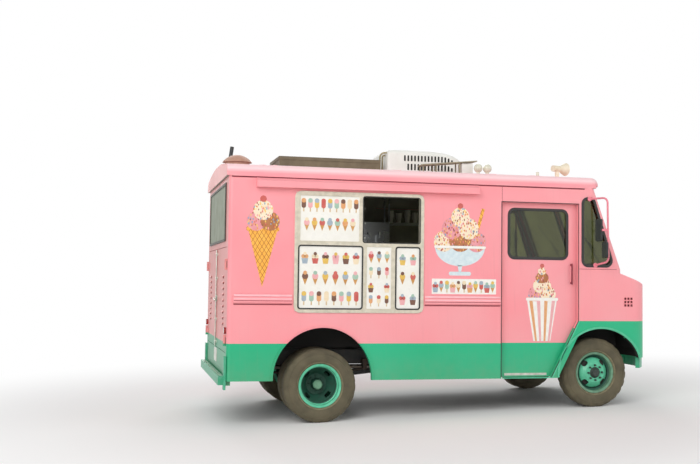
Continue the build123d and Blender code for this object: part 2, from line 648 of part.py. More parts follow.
arch_dx = FRONT_ARCH_X - FRONT_ARCH_FOOT
ka = 1 + diag * diag
kb = 2 * (-arch_dx * diag - (FRONT_ARCH_Z - SKIRT_Z))
kc = arch_dx ** 2 + (FRONT_ARCH_Z - SKIRT_Z) ** 2 - FRONT_ARCH_R ** 2
rise = (-kb + (kb * kb - 4 * ka * kc) ** 0.5) / (2 * ka)
arch_start = (FRONT_ARCH_FOOT + diag * rise, SKIRT_Z + rise)
arch_end = (FRONT_ARCH_X + (FRONT_ARCH_R ** 2 - (NOSE_BOTTOM - FRONT_ARCH_Z) ** 2) ** 0.5, NOSE_BOTTOM)
with BuildPart() as nose:
    add(nose_block(0))
    with BuildSketch(Plane.XY.offset(HOOD_FRONT_Z)):
        add(plan(CAB_FRONT_LOW, HALF_W, FRONT_CORNER_R, DOOR_FRONT))
    extrude(amount=CAB_SPLIT - HOOD_FRONT_Z)
    add(nose_block(WALL), mode=Mode.SUBTRACT)
    with BuildSketch(Plane.XY.offset(HOOD_FRONT_Z - 100)):
        add(plan(CAB_FRONT_LOW - WALL, HALF_W - WALL, FRONT_CORNER_R - WALL, DOOR_FRONT - 400))
    extrude(amount=CAB_SPLIT - HOOD_FRONT_Z + 110, mode=Mode.SUBTRACT)
    with BuildSketch(Plane.XZ.offset(HALF_W + 50)):
        with BuildLine():
            Polyline(
                (FRONT_ARCH_FOOT, SKIRT_Z), (DIAG_LOW_X, SKIRT_Z), (DOOR_FRONT, DIAG_HIGH_Z),
                (DOOR_FRONT, CAB_SPLIT), (NOSE_FRONT + 20, CAB_SPLIT), (NOSE_FRONT + 20, NOSE_BOTTOM), arch_end,
            )
            ThreePointArc(arch_end, (FRONT_ARCH_X, FRONT_ARCH_Z + FRONT_ARCH_R), arch_start)
            Line(arch_start, (FRONT_ARCH_FOOT, SKIRT_Z))
        make_face()
    extrude(amount=-2 * HALF_W - 100, mode=Mode.INTERSECT)
    add(hood_prism(0), mode=Mode.SUBTRACT)
    with BuildSketch(Plane.YZ.offset(NOSE_FRONT - 100)):
        with Locations((0, (GRILLE[1] + GRILLE[2]) / 2)):
            RectangleRounded(2 * GRILLE[0], GRILLE[2] - GRILLE[1], 40)
        with Locations((LAMP_Y, LAMP_Z), (-LAMP_Y, LAMP_Z)):
            Circle(LAMP_R + 7)
    extrude(amount=150, mode=Mode.SUBTRACT)
    for side in (1, -1):
        for i in range(VENT[4]):
            for j in range(VENT[4]):
                with Locations((VENT[0] + i * VENT[2], side * HALF_W, VENT[1] + j * VENT[2] + 16)):
                    Box(VENT[3], 24, VENT[3], mode=Mode.SUBTRACT)
    for side in (1, -1):
        hinge_y = side * HOOD_HINGE_Y
        with Locations(Location((HOOD_HINGE_X, hinge_y, HOOD_HINGE_Z), (90, 0, 0))):
            Cylinder(HOOD_PIN_R, 2 * HOOD_EYE + 2 * HOOD_HINGE_W)
        for end in (1, -1):
            eye_y = hinge_y + end * (HOOD_EYE + 1 + HOOD_HINGE_W / 2)
            with Locations(Location((HOOD_HINGE_X, eye_y, HOOD_HINGE_Z), (90, 0, 0))):
                Cylinder(HOOD_EYE_R, HOOD_HINGE_W)
            with Locations((HOOD_HINGE_X - 14, eye_y, HOOD_HINGE_Z - 7)):
                Box(28, HOOD_HINGE_W, 14)
keep(nose.part, "nose")

# Hood: the lid over the nose with its turned-down lip, on two barrel hinges at the cowl
HOOD_T = 25.0
with BuildPart() as hood:
    add(nose_block(0))
    add(nose_block(HOOD_T), mode=Mode.SUBTRACT)
    add(hood_prism(HOOD_GAP), mode=Mode.INTERSECT)
    for side in (1, -1):
        with Locations(Location((HOOD_HINGE_X, side * HOOD_HINGE_Y, HOOD_HINGE_Z), (90, 0, 0))):
            Cylinder(HOOD_EYE_R, 2 * HOOD_EYE)
        with Locations((HOOD_HINGE_X + 18, side * HOOD_HINGE_Y, HOOD_HINGE_Z - HOOD_HINGE_LIFT)):
            Box(32, 2 * HOOD_EYE, 2 * HOOD_HINGE_LIFT)
        with Locations(Location((HOOD_HINGE_X, side * HOOD_HINGE_Y, HOOD_HINGE_Z), (90, 0, 0))):
            Cylinder(HOOD_PIN_R + RUN, 2 * HOOD_EYE + 2, mode=Mode.SUBTRACT)
keep(hood.part, "hood")

# Grille: a pressed frame with flat slats, set in the nose
SLATS = 8
with BuildPart() as grille:
    with BuildSketch(Plane.YZ.offset(NOSE_FRONT - 30)):
        with Locations((0, (GRILLE[1] + GRILLE[2]) / 2)):
            RectangleRounded(2 * (GRILLE[0] - RUN), GRILLE[2] - GRILLE[1] - 2 * RUN, 40 - RUN)
            RectangleRounded(2 * (GRILLE[0] - 28), GRILLE[2] - GRILLE[1] - 56, 20, mode=Mode.SUBTRACT)
    extrude(amount=35)
    pitch = (GRILLE[2] - GRILLE[1] - 50) / SLATS
    for i in range(SLATS):
        with Locations((NOSE_FRONT - 12, 0, GRILLE[1] + 25 + (i + 0.5) * pitch)):
            Box(24, 2 * (GRILLE[0] - 20), 16)
    for y in (-260, 0, 260):
        with Locations((NOSE_FRONT - 20, y, (GRILLE[1] + GRILLE[2]) / 2)):
            Box(16, 14, GRILLE[2] - GRILLE[1] - 40)
keep(grille.part, "grille")


# Roof: a crowned shell with rounded edges, a peak over the windscreen and a gutter along
# each side
def roof_block(inset, front, bottom):
    """The roof as one block, its outer faces moved in by the inset."""
    w = HALF_W - inset
    with BuildPart() as block:
        with BuildSketch(Plane.YZ.offset(ROOF_REAR + inset)):
            with BuildLine():
                crown = ThreePointArc((-w, ROOF_SIDE_Z - inset), (0, ROOF_CROWN_Z - inset), (w, ROOF_SIDE_Z - inset))
                Polyline(crown @ 1, (w, bottom), (-w, bottom), crown @ 0)
            make_face()
        extrude(amount=front - ROOF_REAR - inset)
        fillet(block.edges().filter_by(Axis.Z).group_by(Axis.X)[-1], ROOF_CORNER_R - inset)
        top = block.faces().sort_by(Axis.Z)[-1]
        fillet([edge for edge in top.edges() if edge.center().X > ROOF_REAR + inset + 1], ROOF_EDGE_R - inset)
    return block.part


with BuildPart() as roof:
    add(roof_block(0, ROOF_FRONT, BODY_TOP))
    with Locations(((ROOF_NOTCH + ROOF_FRONT) / 2 + 10, 0, BODY_TOP)):
        Box(ROOF_FRONT - ROOF_NOTCH + 20, 2 * HALF_W + 10, 2 * PEAK_LIFT, mode=Mode.SUBTRACT)
    add(roof_block(ROOF_T, ROOF_NOTCH - ROOF_T, BODY_TOP - 10), mode=Mode.SUBTRACT)
    for side in (1, -1):
        with Locations(((GUTTER_REAR + GUTTER_FRONT) / 2, side * (HALF_W + GUTTER / 2), BODY_TOP + 3)):
            Box(GUTTER_FRONT - GUTTER_REAR, GUTTER, 16)
keep(roof.part, "roof")


# Sliding cab doors: a flat panel behind the wall, its lower front corner cut for the
# wheel, with its pull handle and two hangers whose rollers run on the track
def diag_x(z):
    """Front edge of the door opening beside the front wheel."""
    return DIAG_LOW_X + (z - SKIRT_Z) * diag


DOOR_OUT = HALF_W - WALL - DOOR_GAP
ROLLER_R = 18.0
HANGER_X = (DOOR_REAR + 147, DOOR_REAR + 747)
with BuildPart() as cab_door:
    with BuildSketch(Plane.XZ.offset(DOOR_OUT)):
        with BuildLine():
            Polyline(
                (DOOR_REAR - DOOR_LAP, DOOR_BOTTOM), (diag_x(DOOR_BOTTOM) + 12, DOOR_BOTTOM),
                (DOOR_FRONT + 12, DIAG_HIGH_Z), (DOOR_FRONT + 12, DOOR_TOP + DOOR_LAP),
                (DOOR_REAR - DOOR_LAP, DOOR_TOP + DOOR_LAP), close=True,
            )
        make_face()
        x0, x1, z0, z1 = DOOR_GLASS
        with Locations(((x0 + x1) / 2, (z0 + z1) / 2)):
            RectangleRounded(x1 - x0, z1 - z0, DOOR_GLASS_R, mode=Mode.SUBTRACT)
    extrude(amount=-DOOR_T)
    with Locations((HANDLE_X, -DOOR_OUT - 30, sum(HANDLE_Z) / 2)):
        Cylinder(9, HANDLE_Z[1] - HANDLE_Z[0])
    for z in (HANDLE_Z[0] + 14, HANDLE_Z[1] - 14):
        with Locations((HANDLE_X, -DOOR_OUT - 15, z)):
            Box(16, 32, 20)
    for x in HANGER_X:
        plate_y = -inner_y + 66 + 8 + 3
        roll_z = TRACK_Z + 8 + ROLLER_R + RUN
        with Locations((x, (-DOOR_OUT + DOOR_T + plate_y) / 2, DOOR_TOP - 10)):
            Box(60, plate_y + DOOR_OUT - DOOR_T + 2, 40)
        with Locations((x, plate_y, (DOOR_TOP - 30 + roll_z + 14) / 2)):
            Box(60, 6, roll_z + 14 - DOOR_TOP + 30)
        with Locations(Location((x, (plate_y - inner_y + 14) / 2, roll_z), (90, 0, 0))):
            Cylinder(5, plate_y + inner_y - 14)
        with Locations(Location((x, -inner_y + 30, roll_z), (90, 0, 0))):
            Cylinder(ROLLER_R, 30)
keep(cab_door.part, "cab_door_right")
keep(left_of(cab_door.part), "cab_door_left")

with BuildPart() as door_glass:
    with BuildSketch(Plane.XZ.offset(DOOR_OUT - DOOR_T / 2 + GLASS_T / 2)):
        x0, x1, z0, z1 = DOOR_GLASS
        with Locations(((x0 + x1) / 2, (z0 + z1) / 2)):
            RectangleRounded(x1 - x0 - 2 * RUN, z1 - z0 - 2 * RUN, DOOR_GLASS_R - RUN)
    extrude(amount=-GLASS_T)
keep(door_glass.part, "door_glass_right")
keep(left_of(door_glass.part), "door_glass_left")

# Serving window: an aluminium frame through the wall with its bars, and the four white
# boards that fill all but the serving opening
with BuildPart() as serving_window:
    x0, x1, z0, z1 = WINDOW
    with BuildSketch(Plane.XZ.offset(HALF_W)):
        with Locations(((x0 + x1) / 2, (z0 + z1) / 2)):
            RectangleRounded(x1 - x0, z1 - z0, 40)
    extrude(amount=FRAME_PROUD)
    with BuildSketch(Plane.XZ.offset(HALF_W)):
        with Locations(((x0 + x1) / 2, (z0 + z1) / 2)):
            Rectangle(x1 - x0 - 2 * FRAME_LIP - 2 * RUN, z1 - z0 - 2 * FRAME_LIP - 2 * RUN)
    extrude(amount=-WALL + 10)
    with BuildSketch(Plane.XZ.offset(HALF_W + FRAME_PROUD + 1)):
        for x0, x1, z0, z1 in PANES.values():
            with Locations(((x0 + x1) / 2, (z0 + z1) / 2)):
                RectangleRounded(x1 - x0, z1 - z0, PANE_R)
    extrude(amount=-WALL - FRAME_PROUD - 10, mode=Mode.SUBTRACT)
keep(serving_window.part, "serving_window")

with BuildPart() as menu_boards:
    with BuildSketch(Plane.XZ.offset(HALF_W + FRAME_PROUD / 2)):
        for name, (x0, x1, z0, z1) in PANES.items():
            if name != "opening":
                with Locations(((x0 + x1) / 2, (z0 + z1) / 2)):
                    RectangleRounded(x1 - x0 - 2 * RUN, z1 - z0 - 2 * RUN, PANE_R - RUN)
    extrude(amount=-BOARD_T)
keep(menu_boards.part, "menu_boards")

# Folded box over the serving window, with a sloping top
HOOD_BOX = (WINDOW[0] - 408, WINDOW[1] + 615, 70.0, WINDOW[3] + 21, WINDOW[3] + 120)
with BuildPart() as window_hood:
    x0, x1, out, z0, z1 = HOOD_BOX
    with BuildSketch(Plane.YZ.offset(x0)):
        with BuildLine():
            Polyline(
                (-HALF_W, z0), (-HALF_W, z1), (-HALF_W - 14, z1), (-HALF_W - out, z1 - 34), (-HALF_W - out, z0),
                close=True,
            )
        make_face()
    extrude(amount=x1 - x0)
keep(window_hood.part, "window_hood")

# Inside: the serving counter, the soft-serve machine, the driver's seat, the dash with the
# engine cover and the steering wheel on its column
COUNTER = (-260.0, 1100.0, 460.0, 1740.0)
with BuildPart() as counter:
    x0, x1, depth, top = COUNTER
    with Locations(((x0 + x1) / 2, -inner_y + depth / 2, (FLOOR_TOP + top - 30) / 2)):
        Box(x1 - x0, depth, top - 30 - FLOOR_TOP)
    with Locations(((x0 + x1) / 2, -inner_y + depth / 2 + 10, top - 15)):
        Box(x1 - x0 + 20, depth + 20, 30)
    for i in range(3):
        with Locations((x0 + (i + 0.5) * (x1 - x0) / 3, -inner_y + depth, (FLOOR_TOP + 100 + top - 60) / 2)):
            Box((x1 - x0) / 3 - 40, 16, top - 60 - FLOOR_TOP - 100)
    with Locations(((x0 + REAR_HOUSE[1]) / 2 - 50, -inner_y + depth / 2, (FLOOR_TOP + HOUSE_TOP) / 2)):
        Box(REAR_HOUSE[1] - x0 + 100, depth + 60, HOUSE_TOP - FLOOR_TOP, mode=Mode.SUBTRACT)
keep(counter.part, "counter")

MACHINE = (640.0, 1180.0, 400.0, 1000.0, 1700.0)
with BuildPart() as soft_serve_machine:
    x0, x1, y0, y1, shelf = MACHINE
    mid = (x0 + x1) / 2
    with Locations((mid, (y0 + y1) / 2, (FLOOR_TOP + shelf) / 2)):
        Box(x1 - x0, y1 - y0, shelf - FLOOR_TOP)
    with Locations((mid, (y0 + y1) / 2 + 60, shelf + 260)):
        Box(x1 - x0, y1 - y0 - 120, 520)
    for x in (mid - 130, mid, mid + 130):
        with Locations((x, y0 + 90, shelf + 300)):
            Box(70, 70, 110)
            Cylinder(16, 190)
        with Locations((x, y0 + 48, shelf + 330)):
            Box(14, 60, 14)
    with Locations((mid, y0 + 60, shelf + 8)):
        Box(x1 - x0 - 80, 100, 16)
keep(soft_serve_machine.part, "soft_serve_machine")

SEAT = (DOOR_REAR + 117, 520.0, 440.0, 460.0, 1270.0)
with BuildPart() as driver_seat:
    x, y, length, width, top = SEAT
    with Locations((x, y, (FLOOR_TOP + top - 120) / 2)):
        Cylinder(45, top - 120 - FLOOR_TOP)
    with Locations((x, y, FLOOR_TOP + 6)):
        Cylinder(130, 12)
    with Locations((x, y, top - 60)):
        Box(length, width, 120)
    fillet(driver_seat.edges().filter_by(Axis.Z).sort_by(SortBy.LENGTH)[-4:], 50)
    with BuildSketch(Plane.XZ.offset(-y - width / 2 + 10)):
        with BuildLine():
            Polyline(
                (x - length / 2 + 10, top - 60), (x - length / 2 + 110, top - 60),
                (x - length / 2 + 30, top + 520), (x - length / 2 - 60, top + 520), close=True,
            )
        make_face()
    extrude(amount=width - 20)
keep(driver_seat.part, "driver_seat")

WHEEL_AT = (DOOR_REAR + 687, SEAT[1], 1500.0)
COLUMN_TILT = 40.0
STEER_WHEEL_R = 225.0
DASH = (WHEELBASE - 85, 1330.0, CAB_SPLIT - 95)
with BuildPart() as dashboard:
    with BuildSketch(Plane.XZ.offset(POCKET_IN - 20)):
        with BuildLine():
            Polyline(
                (FIREWALL_X, DASH[1]), (FIREWALL_X, DASH[2] + 20), (DASH[0] + 40, DASH[2]), (DASH[0], DASH[2] - 40),
                (DASH[0] + 40, DASH[1]), close=True,
            )
        make_face()
    extrude(amount=-2 * (POCKET_IN - 20))
    cover_x = ENGINE_HOLE[0] - 40
    with Locations(((cover_x + FIREWALL_X) / 2, 0, (FLOOR_TOP + DASH[1] + 10) / 2)):
        Box(FIREWALL_X - cover_x, ENGINE_HOLE[1] + 40, DASH[1] + 10 - FLOOR_TOP)
    fillet(dashboard.edges().filter_by(Axis.Y).group_by(Axis.X)[0].sort_by(Axis.Z)[-1], 60)
    with Locations(((cover_x + 20 + FIREWALL_X) / 2 + 10, 0, (FLOOR_TOP + ENGINE_Z[1] + 40) / 2)):
        Box(FIREWALL_X - cover_x, ENGINE_HOLE[1], ENGINE_Z[1] + 40 - FLOOR_TOP, mode=Mode.SUBTRACT)
    column = Plane(origin=WHEEL_AT, z_dir=(cos(radians(COLUMN_TILT)), 0, -sin(radians(COLUMN_TILT))))
    with BuildSketch(column.offset(40)):
        Circle(28)
    extrude(amount=1000)
    split(bisect_by=Plane.YZ.offset(FIREWALL_X), keep=Keep.BOTTOM)
keep(dashboard.part, "dashboard")

with BuildPart() as steering_wheel:
    with BuildSketch(Plane(origin=WHEEL_AT, x_dir=(0, 1, 0), z_dir=(sin(radians(COLUMN_TILT)), 0, cos(radians(COLUMN_TILT))))):
        with Locations((STEER_WHEEL_R - 13, 0)):
            Circle(13)
    revolve(axis=Axis(WHEEL_AT, (cos(radians(COLUMN_TILT)), 0, -sin(radians(COLUMN_TILT)))))
    with BuildSketch(column.offset(-14)):
        Circle(42)
    extrude(amount=40 + 14 - RUN)
    with BuildSketch(column.offset(-7)):
        with PolarLocations(0, 3, 90):
            with Locations((STEER_WHEEL_R / 2, 0)):
                Rectangle(STEER_WHEEL_R - 26, 34)
    extrude(amount=12)
keep(steering_wheel.part, "steering_wheel")

# Mirrors: a bent tube from the cab's corner to the cowl with two heads on it
TUBE_R = 11.0
MIRROR_Y = HALF_W + 165
with BuildPart() as mirror:
    foot_top = (WHEELBASE - 125, -HALF_W, BODY_TOP - 121)
    foot_low = (WHEELBASE - 55, -HALF_W, CAB_SPLIT + 45)
    with BuildLine() as tube:
        FilletPolyline(
            foot_top, (WHEELBASE + 10, -MIRROR_Y, foot_top[2] + 6), (WHEELBASE + 22, -MIRROR_Y, foot_low[2] + 40),
            foot_low, radius=55,
        )
    with BuildSketch(Plane(origin=tube.line @ 0, z_dir=tube.line % 0)):
        Circle(TUBE_R)
    sweep(path=tube.line)
    for foot in (foot_top, foot_low):
        with Locations(Location((foot[0], -HALF_W - 5, foot[2]), (90, 0, 0))):
            Cylinder(26, 10)
    with BuildSketch(Plane.YZ.offset(WHEELBASE - 65)):
        with Locations((-MIRROR_Y + 75, 2090)):
            RectangleRounded(130, 250, 24)
    extrude(amount=22)
    with Locations((WHEELBASE - 15, -MIRROR_Y + 20, 2090)):
        Box(76, 44, 24)
    with BuildSketch(Plane.YZ.offset(WHEELBASE - 25)):
        with Locations((-MIRROR_Y + 10, 1870)):
            RectangleRounded(110, 180, 30)
    extrude(amount=22)
    with Locations((WHEELBASE + 5, -MIRROR_Y, 1870)):
        Box(30, TUBE_R, 24)
    with Locations((WHEELBASE - 55, -HALF_W + 50, 2000)):
        Box(300, 100, 1200, mode=Mode.SUBTRACT)
with BuildPart() as mirrors:
    add(mirror.part)
    add(left_of(mirror.part))
keep(mirrors.part, "mirrors")

# On the roof: the air conditioner, two vents with a pipe, the long hatch, and the horn
crown_r = (HALF_W ** 2 + (ROOF_CROWN_Z - ROOF_SIDE_Z) ** 2) / (2 * (ROOF_CROWN_Z - ROOF_SIDE_Z))


def roof_z(y):
    """Height of the roof's crown at a distance from the centreline."""
    return ROOF_CROWN_Z - crown_r + (crown_r ** 2 - y ** 2) ** 0.5


with BuildPart() as crown:
    with BuildSketch(Plane.YZ.offset(ROOF_REAR - 50)):
        with BuildLine():
            arc = ThreePointArc((-HALF_W, ROOF_SIDE_Z + RUN), (0, ROOF_CROWN_Z + RUN), (HALF_W, ROOF_SIDE_Z + RUN))
            Polyline(arc @ 1, (HALF_W, BODY_TOP), (-HALF_W, BODY_TOP), arc @ 0)
        make_face()
    extrude(amount=ROOF_FRONT - ROOF_REAR + 100)
AC = (905.0, 1880.0, 350.0, 255.0)
with BuildPart() as roof_ac:
    x0, x1, half, high = AC
    base = ROOF_CROWN_Z - 20
    top = ROOF_CROWN_Z + high
    with BuildSketch(Plane.XZ.offset(half)):
        with BuildLine():
            Polyline(
                (x0, base), (x1, base), (x1, base + 70), (x1 - 40, base + 110), (x1 - 235, top), (x0 + 40, top),
                (x0, top - 60), close=True,
            )
        make_face()
    extrude(amount=-2 * half)
    fillet(roof_ac.edges().filter_by(Axis.X).group_by(Axis.Z)[-1], 40)
    for side in (1, -1):
        for i in range(14):
            with Locations((x0 + 150 + i * 40, side * half, top - 95)):
                Box(22, 30, 90, mode=Mode.SUBTRACT)
    with Locations(Location((x0 - 10, -half + 90, base + 130), (0, 90, 0))):
        Cylinder(14, 60)
    with Locations((x0 - 40, -half + 90, base + 65)):
        Cylinder(14, 158)
    add(crown.part, mode=Mode.SUBTRACT)
keep(roof_ac.part, "roof_ac")

HATCH = (-355.0, 815.0, 350.0, 120.0)
DOME = (-830.0, -350.0, 165.0, 120.0, 85.0)
PIPE = (-870.0, 0.0, 22.0, 270.0)
TRAY = (1215.0, 1870.0, -700.0, -520.0)
with BuildPart() as roof_vents:
    x0, x1, half, high = HATCH
    with Locations(((x0 + x1) / 2, 0, ROOF_CROWN_Z + high / 2 - 15)):
        Box(x1 - x0, 2 * half, high + 30)
    x, y, r, high, cap = DOME
    cap_r = (r * r + cap * cap) / (2 * cap)
    half_angle = asin(r / cap_r) / 2
    with BuildSketch(Plane(origin=(x, y, roof_z(y)), x_dir=(1, 0, 0), z_dir=(0, -1, 0))):
        with BuildLine():
            Polyline((0, high), (0, -60), (r - 30, -60), (r - 30, high - cap), (r, high - cap))
            ThreePointArc(
                (r, high - cap), (cap_r * sin(half_angle), high - cap_r + cap_r * cos(half_angle)), (0, high),
            )
        make_face()
    revolve(axis=Axis((x, y, roof_z(y)), (0, 0, 1)))
    with Locations(Location((PIPE[0], PIPE[1], ROOF_CROWN_Z + PIPE[3] / 2 - 20), (0, 8, 0))):
        Cylinder(PIPE[2], PIPE[3])
    tray_z = roof_z(TRAY[3])
    with BuildSketch(Plane.XZ.offset(-TRAY[3])):
        with BuildLine():
            Polyline(
                (TRAY[0], tray_z + 60), (TRAY[1], tray_z + 125), (TRAY[1], tray_z + 137), (TRAY[0], tray_z + 72),
                close=True,
            )
        make_face()
    extrude(amount=TRAY[3] - TRAY[2])
    for x in (TRAY[0] + 20, TRAY[0] + 170, TRAY[0] + 450):
        for y in (TRAY[2] + 20, TRAY[3] - 20):
            leg = 62 + (x - TRAY[0]) * 65 / (TRAY[1] - TRAY[0])
            with Locations((x, y, tray_z - 40 + (leg + 40) / 2)):
                Cylinder(8, leg + 40)
    with Locations((TRAY[1] - 110, (TRAY[2] + TRAY[3]) / 2, tray_z + 30)):
        Box(130, 130, 140)
    add(crown.part, mode=Mode.SUBTRACT)
keep(roof_vents.part, "roof_vents")

HORN = (WHEELBASE - 215, -700.0, 75.0, 18.0)
with BuildPart() as horn_speaker:
    hx, hy, hr, turn = HORN
    hz = roof_z(hy) + 90
    along = Plane(origin=(hx, hy, hz), z_dir=(-cos(radians(turn)), -sin(radians(turn)), 0))
    with BuildSketch(along):
        Circle(hr)
    with BuildSketch(along.offset(110)):
        Circle(24)
    loft()
    with BuildSketch(along.offset(100)):
        Circle(36)
    extrude(amount=95)
    with Locations((hx - 130 * cos(radians(turn)), hy - 130 * sin(radians(turn)), hz - 60)):
        Box(40, 30, 140)
    add(crown.part, mode=Mode.SUBTRACT)
keep(horn_speaker.part, "horn_speaker")

# Lamps: headlamps in their rims, front indicators, tail lamps, a marker on the roof's
# side and two round lamps on it
LENS_R = 88.0
with BuildPart() as lamps:
    for side in (1, -1):
        with Locations(Location((NOSE_FRONT - 20, side * LAMP_Y, LAMP_Z), (0, 90, 0))):
            Cylinder(LAMP_R + 6, 40)
        with Locations(Location((NOSE_FRONT + 6, side * LAMP_Y, LAMP_Z), (0, 90, 0))):
            Cylinder(BEZEL_R, 12)
        with BuildSketch(Plane.XZ.offset(-side * LAMP_Y)):
            with BuildLine():
                x = NOSE_FRONT + 11
                Polyline((x, LAMP_Z), (x + 24, LAMP_Z))
                ThreePointArc((x + 24, LAMP_Z), (x + 18, LAMP_Z + LENS_R * 0.55), (x, LAMP_Z + LENS_R))
                Line((x, LAMP_Z + LENS_R), (x, LAMP_Z))
            make_face()
        revolve(axis=Axis((0, side * LAMP_Y, LAMP_Z), (1, 0, 0)))
        with Locations(Location((NOSE_FRONT + 10, side * LAMP_Y, LAMP_Z - 165), (0, 90, 0))):
            Cylinder(38, 20)
        with Locations(Location((BODY_REAR - 12, side * (HALF_W - CORNER_R - 40), 962), (0, 90, 0))):
            Cylinder(36, 24)
        with Locations((WHEELBASE - 655, side * 900, roof_z(900) + 12)):
            Cylinder(18, 60)
    for x in (AC[1] - 18, AC[1] + 92):
        with Locations((x, -750, roof_z(750) + 62)):
            Sphere(50)
        with Locations((x, -750, roof_z(750) + 5)):
            Cylinder(20, 50)
    add(crown.part, mode=Mode.SUBTRACT)
keep(lamps.part, "lamps")

# Bumpers: a channel bar curving back at its ends in front, and a step bar behind
BUMPER_H = 120.0
BUMPER_Z = (NOSE_BOTTOM - 5 - BUMPER_H, NOSE_BOTTOM - 5)
BUMPER_FRONT = NOSE_FRONT + 103
with BuildPart() as bumpers:
    outer = (
        (BUMPER_FRONT - 155, -985), (BUMPER_FRONT - 33, -820), (BUMPER_FRONT, -640),
        (BUMPER_FRONT, 640), (BUMPER_FRONT - 33, 820), (BUMPER_FRONT - 155, 985),
    )
    with BuildSketch(Plane.XY.offset(BUMPER_Z[0])):
        with BuildLine():
            Polyline(*outer, *[(x - 45, y * 0.985) for x, y in reversed(outer)], close=True)
        make_face()
    extrude(amount=BUMPER_Z[1] - BUMPER_Z[0])
    for side in (1, -1):
        with Locations(((RAIL_FRONT + BUMPER_FRONT - 45) / 2, side * (RAIL_OUT - 25), (RAIL_BOTTOM + 78 + RAIL_BOTTOM) / 2)):
            Box(BUMPER_FRONT - 45 - RAIL_FRONT, 40, 78)
    with Locations((BODY_REAR - 45, 0, 450)):
        Box(60, 2 * HALF_W - 120, 90)
    for side in (1, -1):
        with Locations((BODY_REAR - 10, side * (RAIL_OUT - 25), 450)):
            Box(20, 50, 60)
        with Locations((BODY_REAR - 12, side * (HALF_W - 45), 530)):
            Box(24, 80, 340)
keep(bumpers.part, "bumpers")

# Steering knuckles: a yoke on the kingpin with the spindle, the brake's back plate and the
# steering arm with its ball pin; the tie rod joins the two arms
YOKE_T = 26.0
YOKE_GAP = 2.0
ARM_Z = TYRE_R - EYE_H / 2 - YOKE_GAP - YOKE_T / 2
WEB_Y = (62.0, 88.0)
with BuildPart() as knuckle:
    for end in (1, -1):
        with Locations((WHEELBASE, KINGPIN_Y, TYRE_R + end * (EYE_H / 2 + YOKE_GAP + YOKE_T / 2))):
            Cylinder(EYE_R, YOKE_T)
        with Locations((WHEELBASE, KINGPIN_Y + WEB_Y[1] / 2, TYRE_R + end * (EYE_H / 2 + YOKE_GAP + YOKE_T / 2))):
            Box(2 * EYE_R - 8, WEB_Y[1], YOKE_T)
    with Locations((WHEELBASE, KINGPIN_Y + sum(WEB_Y) / 2, TYRE_R)):
        Box(2 * EYE_R - 8, WEB_Y[1] - WEB_Y[0], EYE_H + 2 * YOKE_GAP + 2 * YOKE_T)
    with Locations((WHEELBASE, KINGPIN_Y, TYRE_R)):
        Cylinder(KINGPIN_R, EYE_H + 2 * YOKE_GAP + 2 * YOKE_T)
    with Locations(Location((WHEELBASE, (KINGPIN_Y + WEB_Y[1] + FRONT_TRACK / 2 + 95) / 2, TYRE_R), (90, 0, 0))):
        Cylinder(SPINDLE_R, FRONT_TRACK / 2 + 95 - KINGPIN_Y - WEB_Y[1])
    with Locations(Location((WHEELBASE, KINGPIN_Y + WEB_Y[1] + 3, TYRE_R), (90, 0, 0))):
        Cylinder(143, 8)
    with Locations((WHEELBASE - STEER_ARM / 2, KINGPIN_Y, ARM_Z)):
        Box(STEER_ARM, 34, YOKE_T)
    with Locations((WHEELBASE - STEER_ARM, KINGPIN_Y, ARM_Z)):
        Cylinder(18, YOKE_T)
    with Locations((WHEELBASE - STEER_ARM, KINGPIN_Y, ARM_Z - YOKE_T / 2 - 18)):
        Cylinder(TIE_PIN_R, 40)
keep(knuckle.part, "knuckle_left", raked=False)
keep(left_of(knuckle.part), "knuckle_right", raked=False)

tie_z = ARM_Z - YOKE_T / 2 - 18
with BuildPart() as tie_rod:
    with Locations(Location((WHEELBASE - STEER_ARM, 0, tie_z), (90, 0, 0))):
        Cylinder(TIE_R, 2 * KINGPIN_Y - 30)
    for side in (1, -1):
        with Locations((WHEELBASE - STEER_ARM, side * KINGPIN_Y, tie_z)):
            Cylinder(20, 26)
            Cylinder(TIE_PIN_R + RUN, 26, mode=Mode.SUBTRACT)
keep(tie_rod.part, "tie_rod", raked=False)

# Wheels: drop-centre steel rims with four hand holes. The front disc stands out past its
# rim; behind, two such wheels are bolted disc to disc on one hub with the brake drum.
HAND_HOLES = 4
DISC_T = 9.0
HAND_R = 148.0
HAND_SIZE = (74.0, 46.0)
STUDS = 8
BARREL = (
    # distance from the rim's middle, radius, along the outside of the barrel
    (-84.0, FLANGE_R), (-76.0, FLANGE_R), (-72.0, SEAT_R), (-38.0, SEAT_R - 4), (-24.0, SEAT_R - 22),
    (24.0, SEAT_R - 22), (38.0, SEAT_R - 4), (72.0, SEAT_R), (76.0, FLANGE_R), (84.0, FLANGE_R),
)


def barrel(middle):
    """Section of one rim on the wheel's own plane: across it, and out from its axle."""
    inner = [(s * 1.08, r - RIM_T) for s, r in BARREL[1:-1]]
    return [(middle + s, r) for s, r in BARREL + tuple(reversed(inner))]


def disc(flat, edge, thick):
    """Section of the disc that joins the hub's flange to the barrel."""
    line = [(flat, HUB_R - 4), (flat, 110.0), (flat + (edge - flat) * 0.35, 140.0), (edge, SEAT_R - 25)]
    return line + [(s + thick, r) for s, r in reversed(line)]


def wheel_sketch(*sections):
    """Half section of a wheel, drawn on the plane through its axle."""
    with BuildSketch(Plane.YZ) as sketch:
        for section in sections:
            with BuildLine():
                Polyline(*section, close=True)
            make_face()
    return sketch.sketch


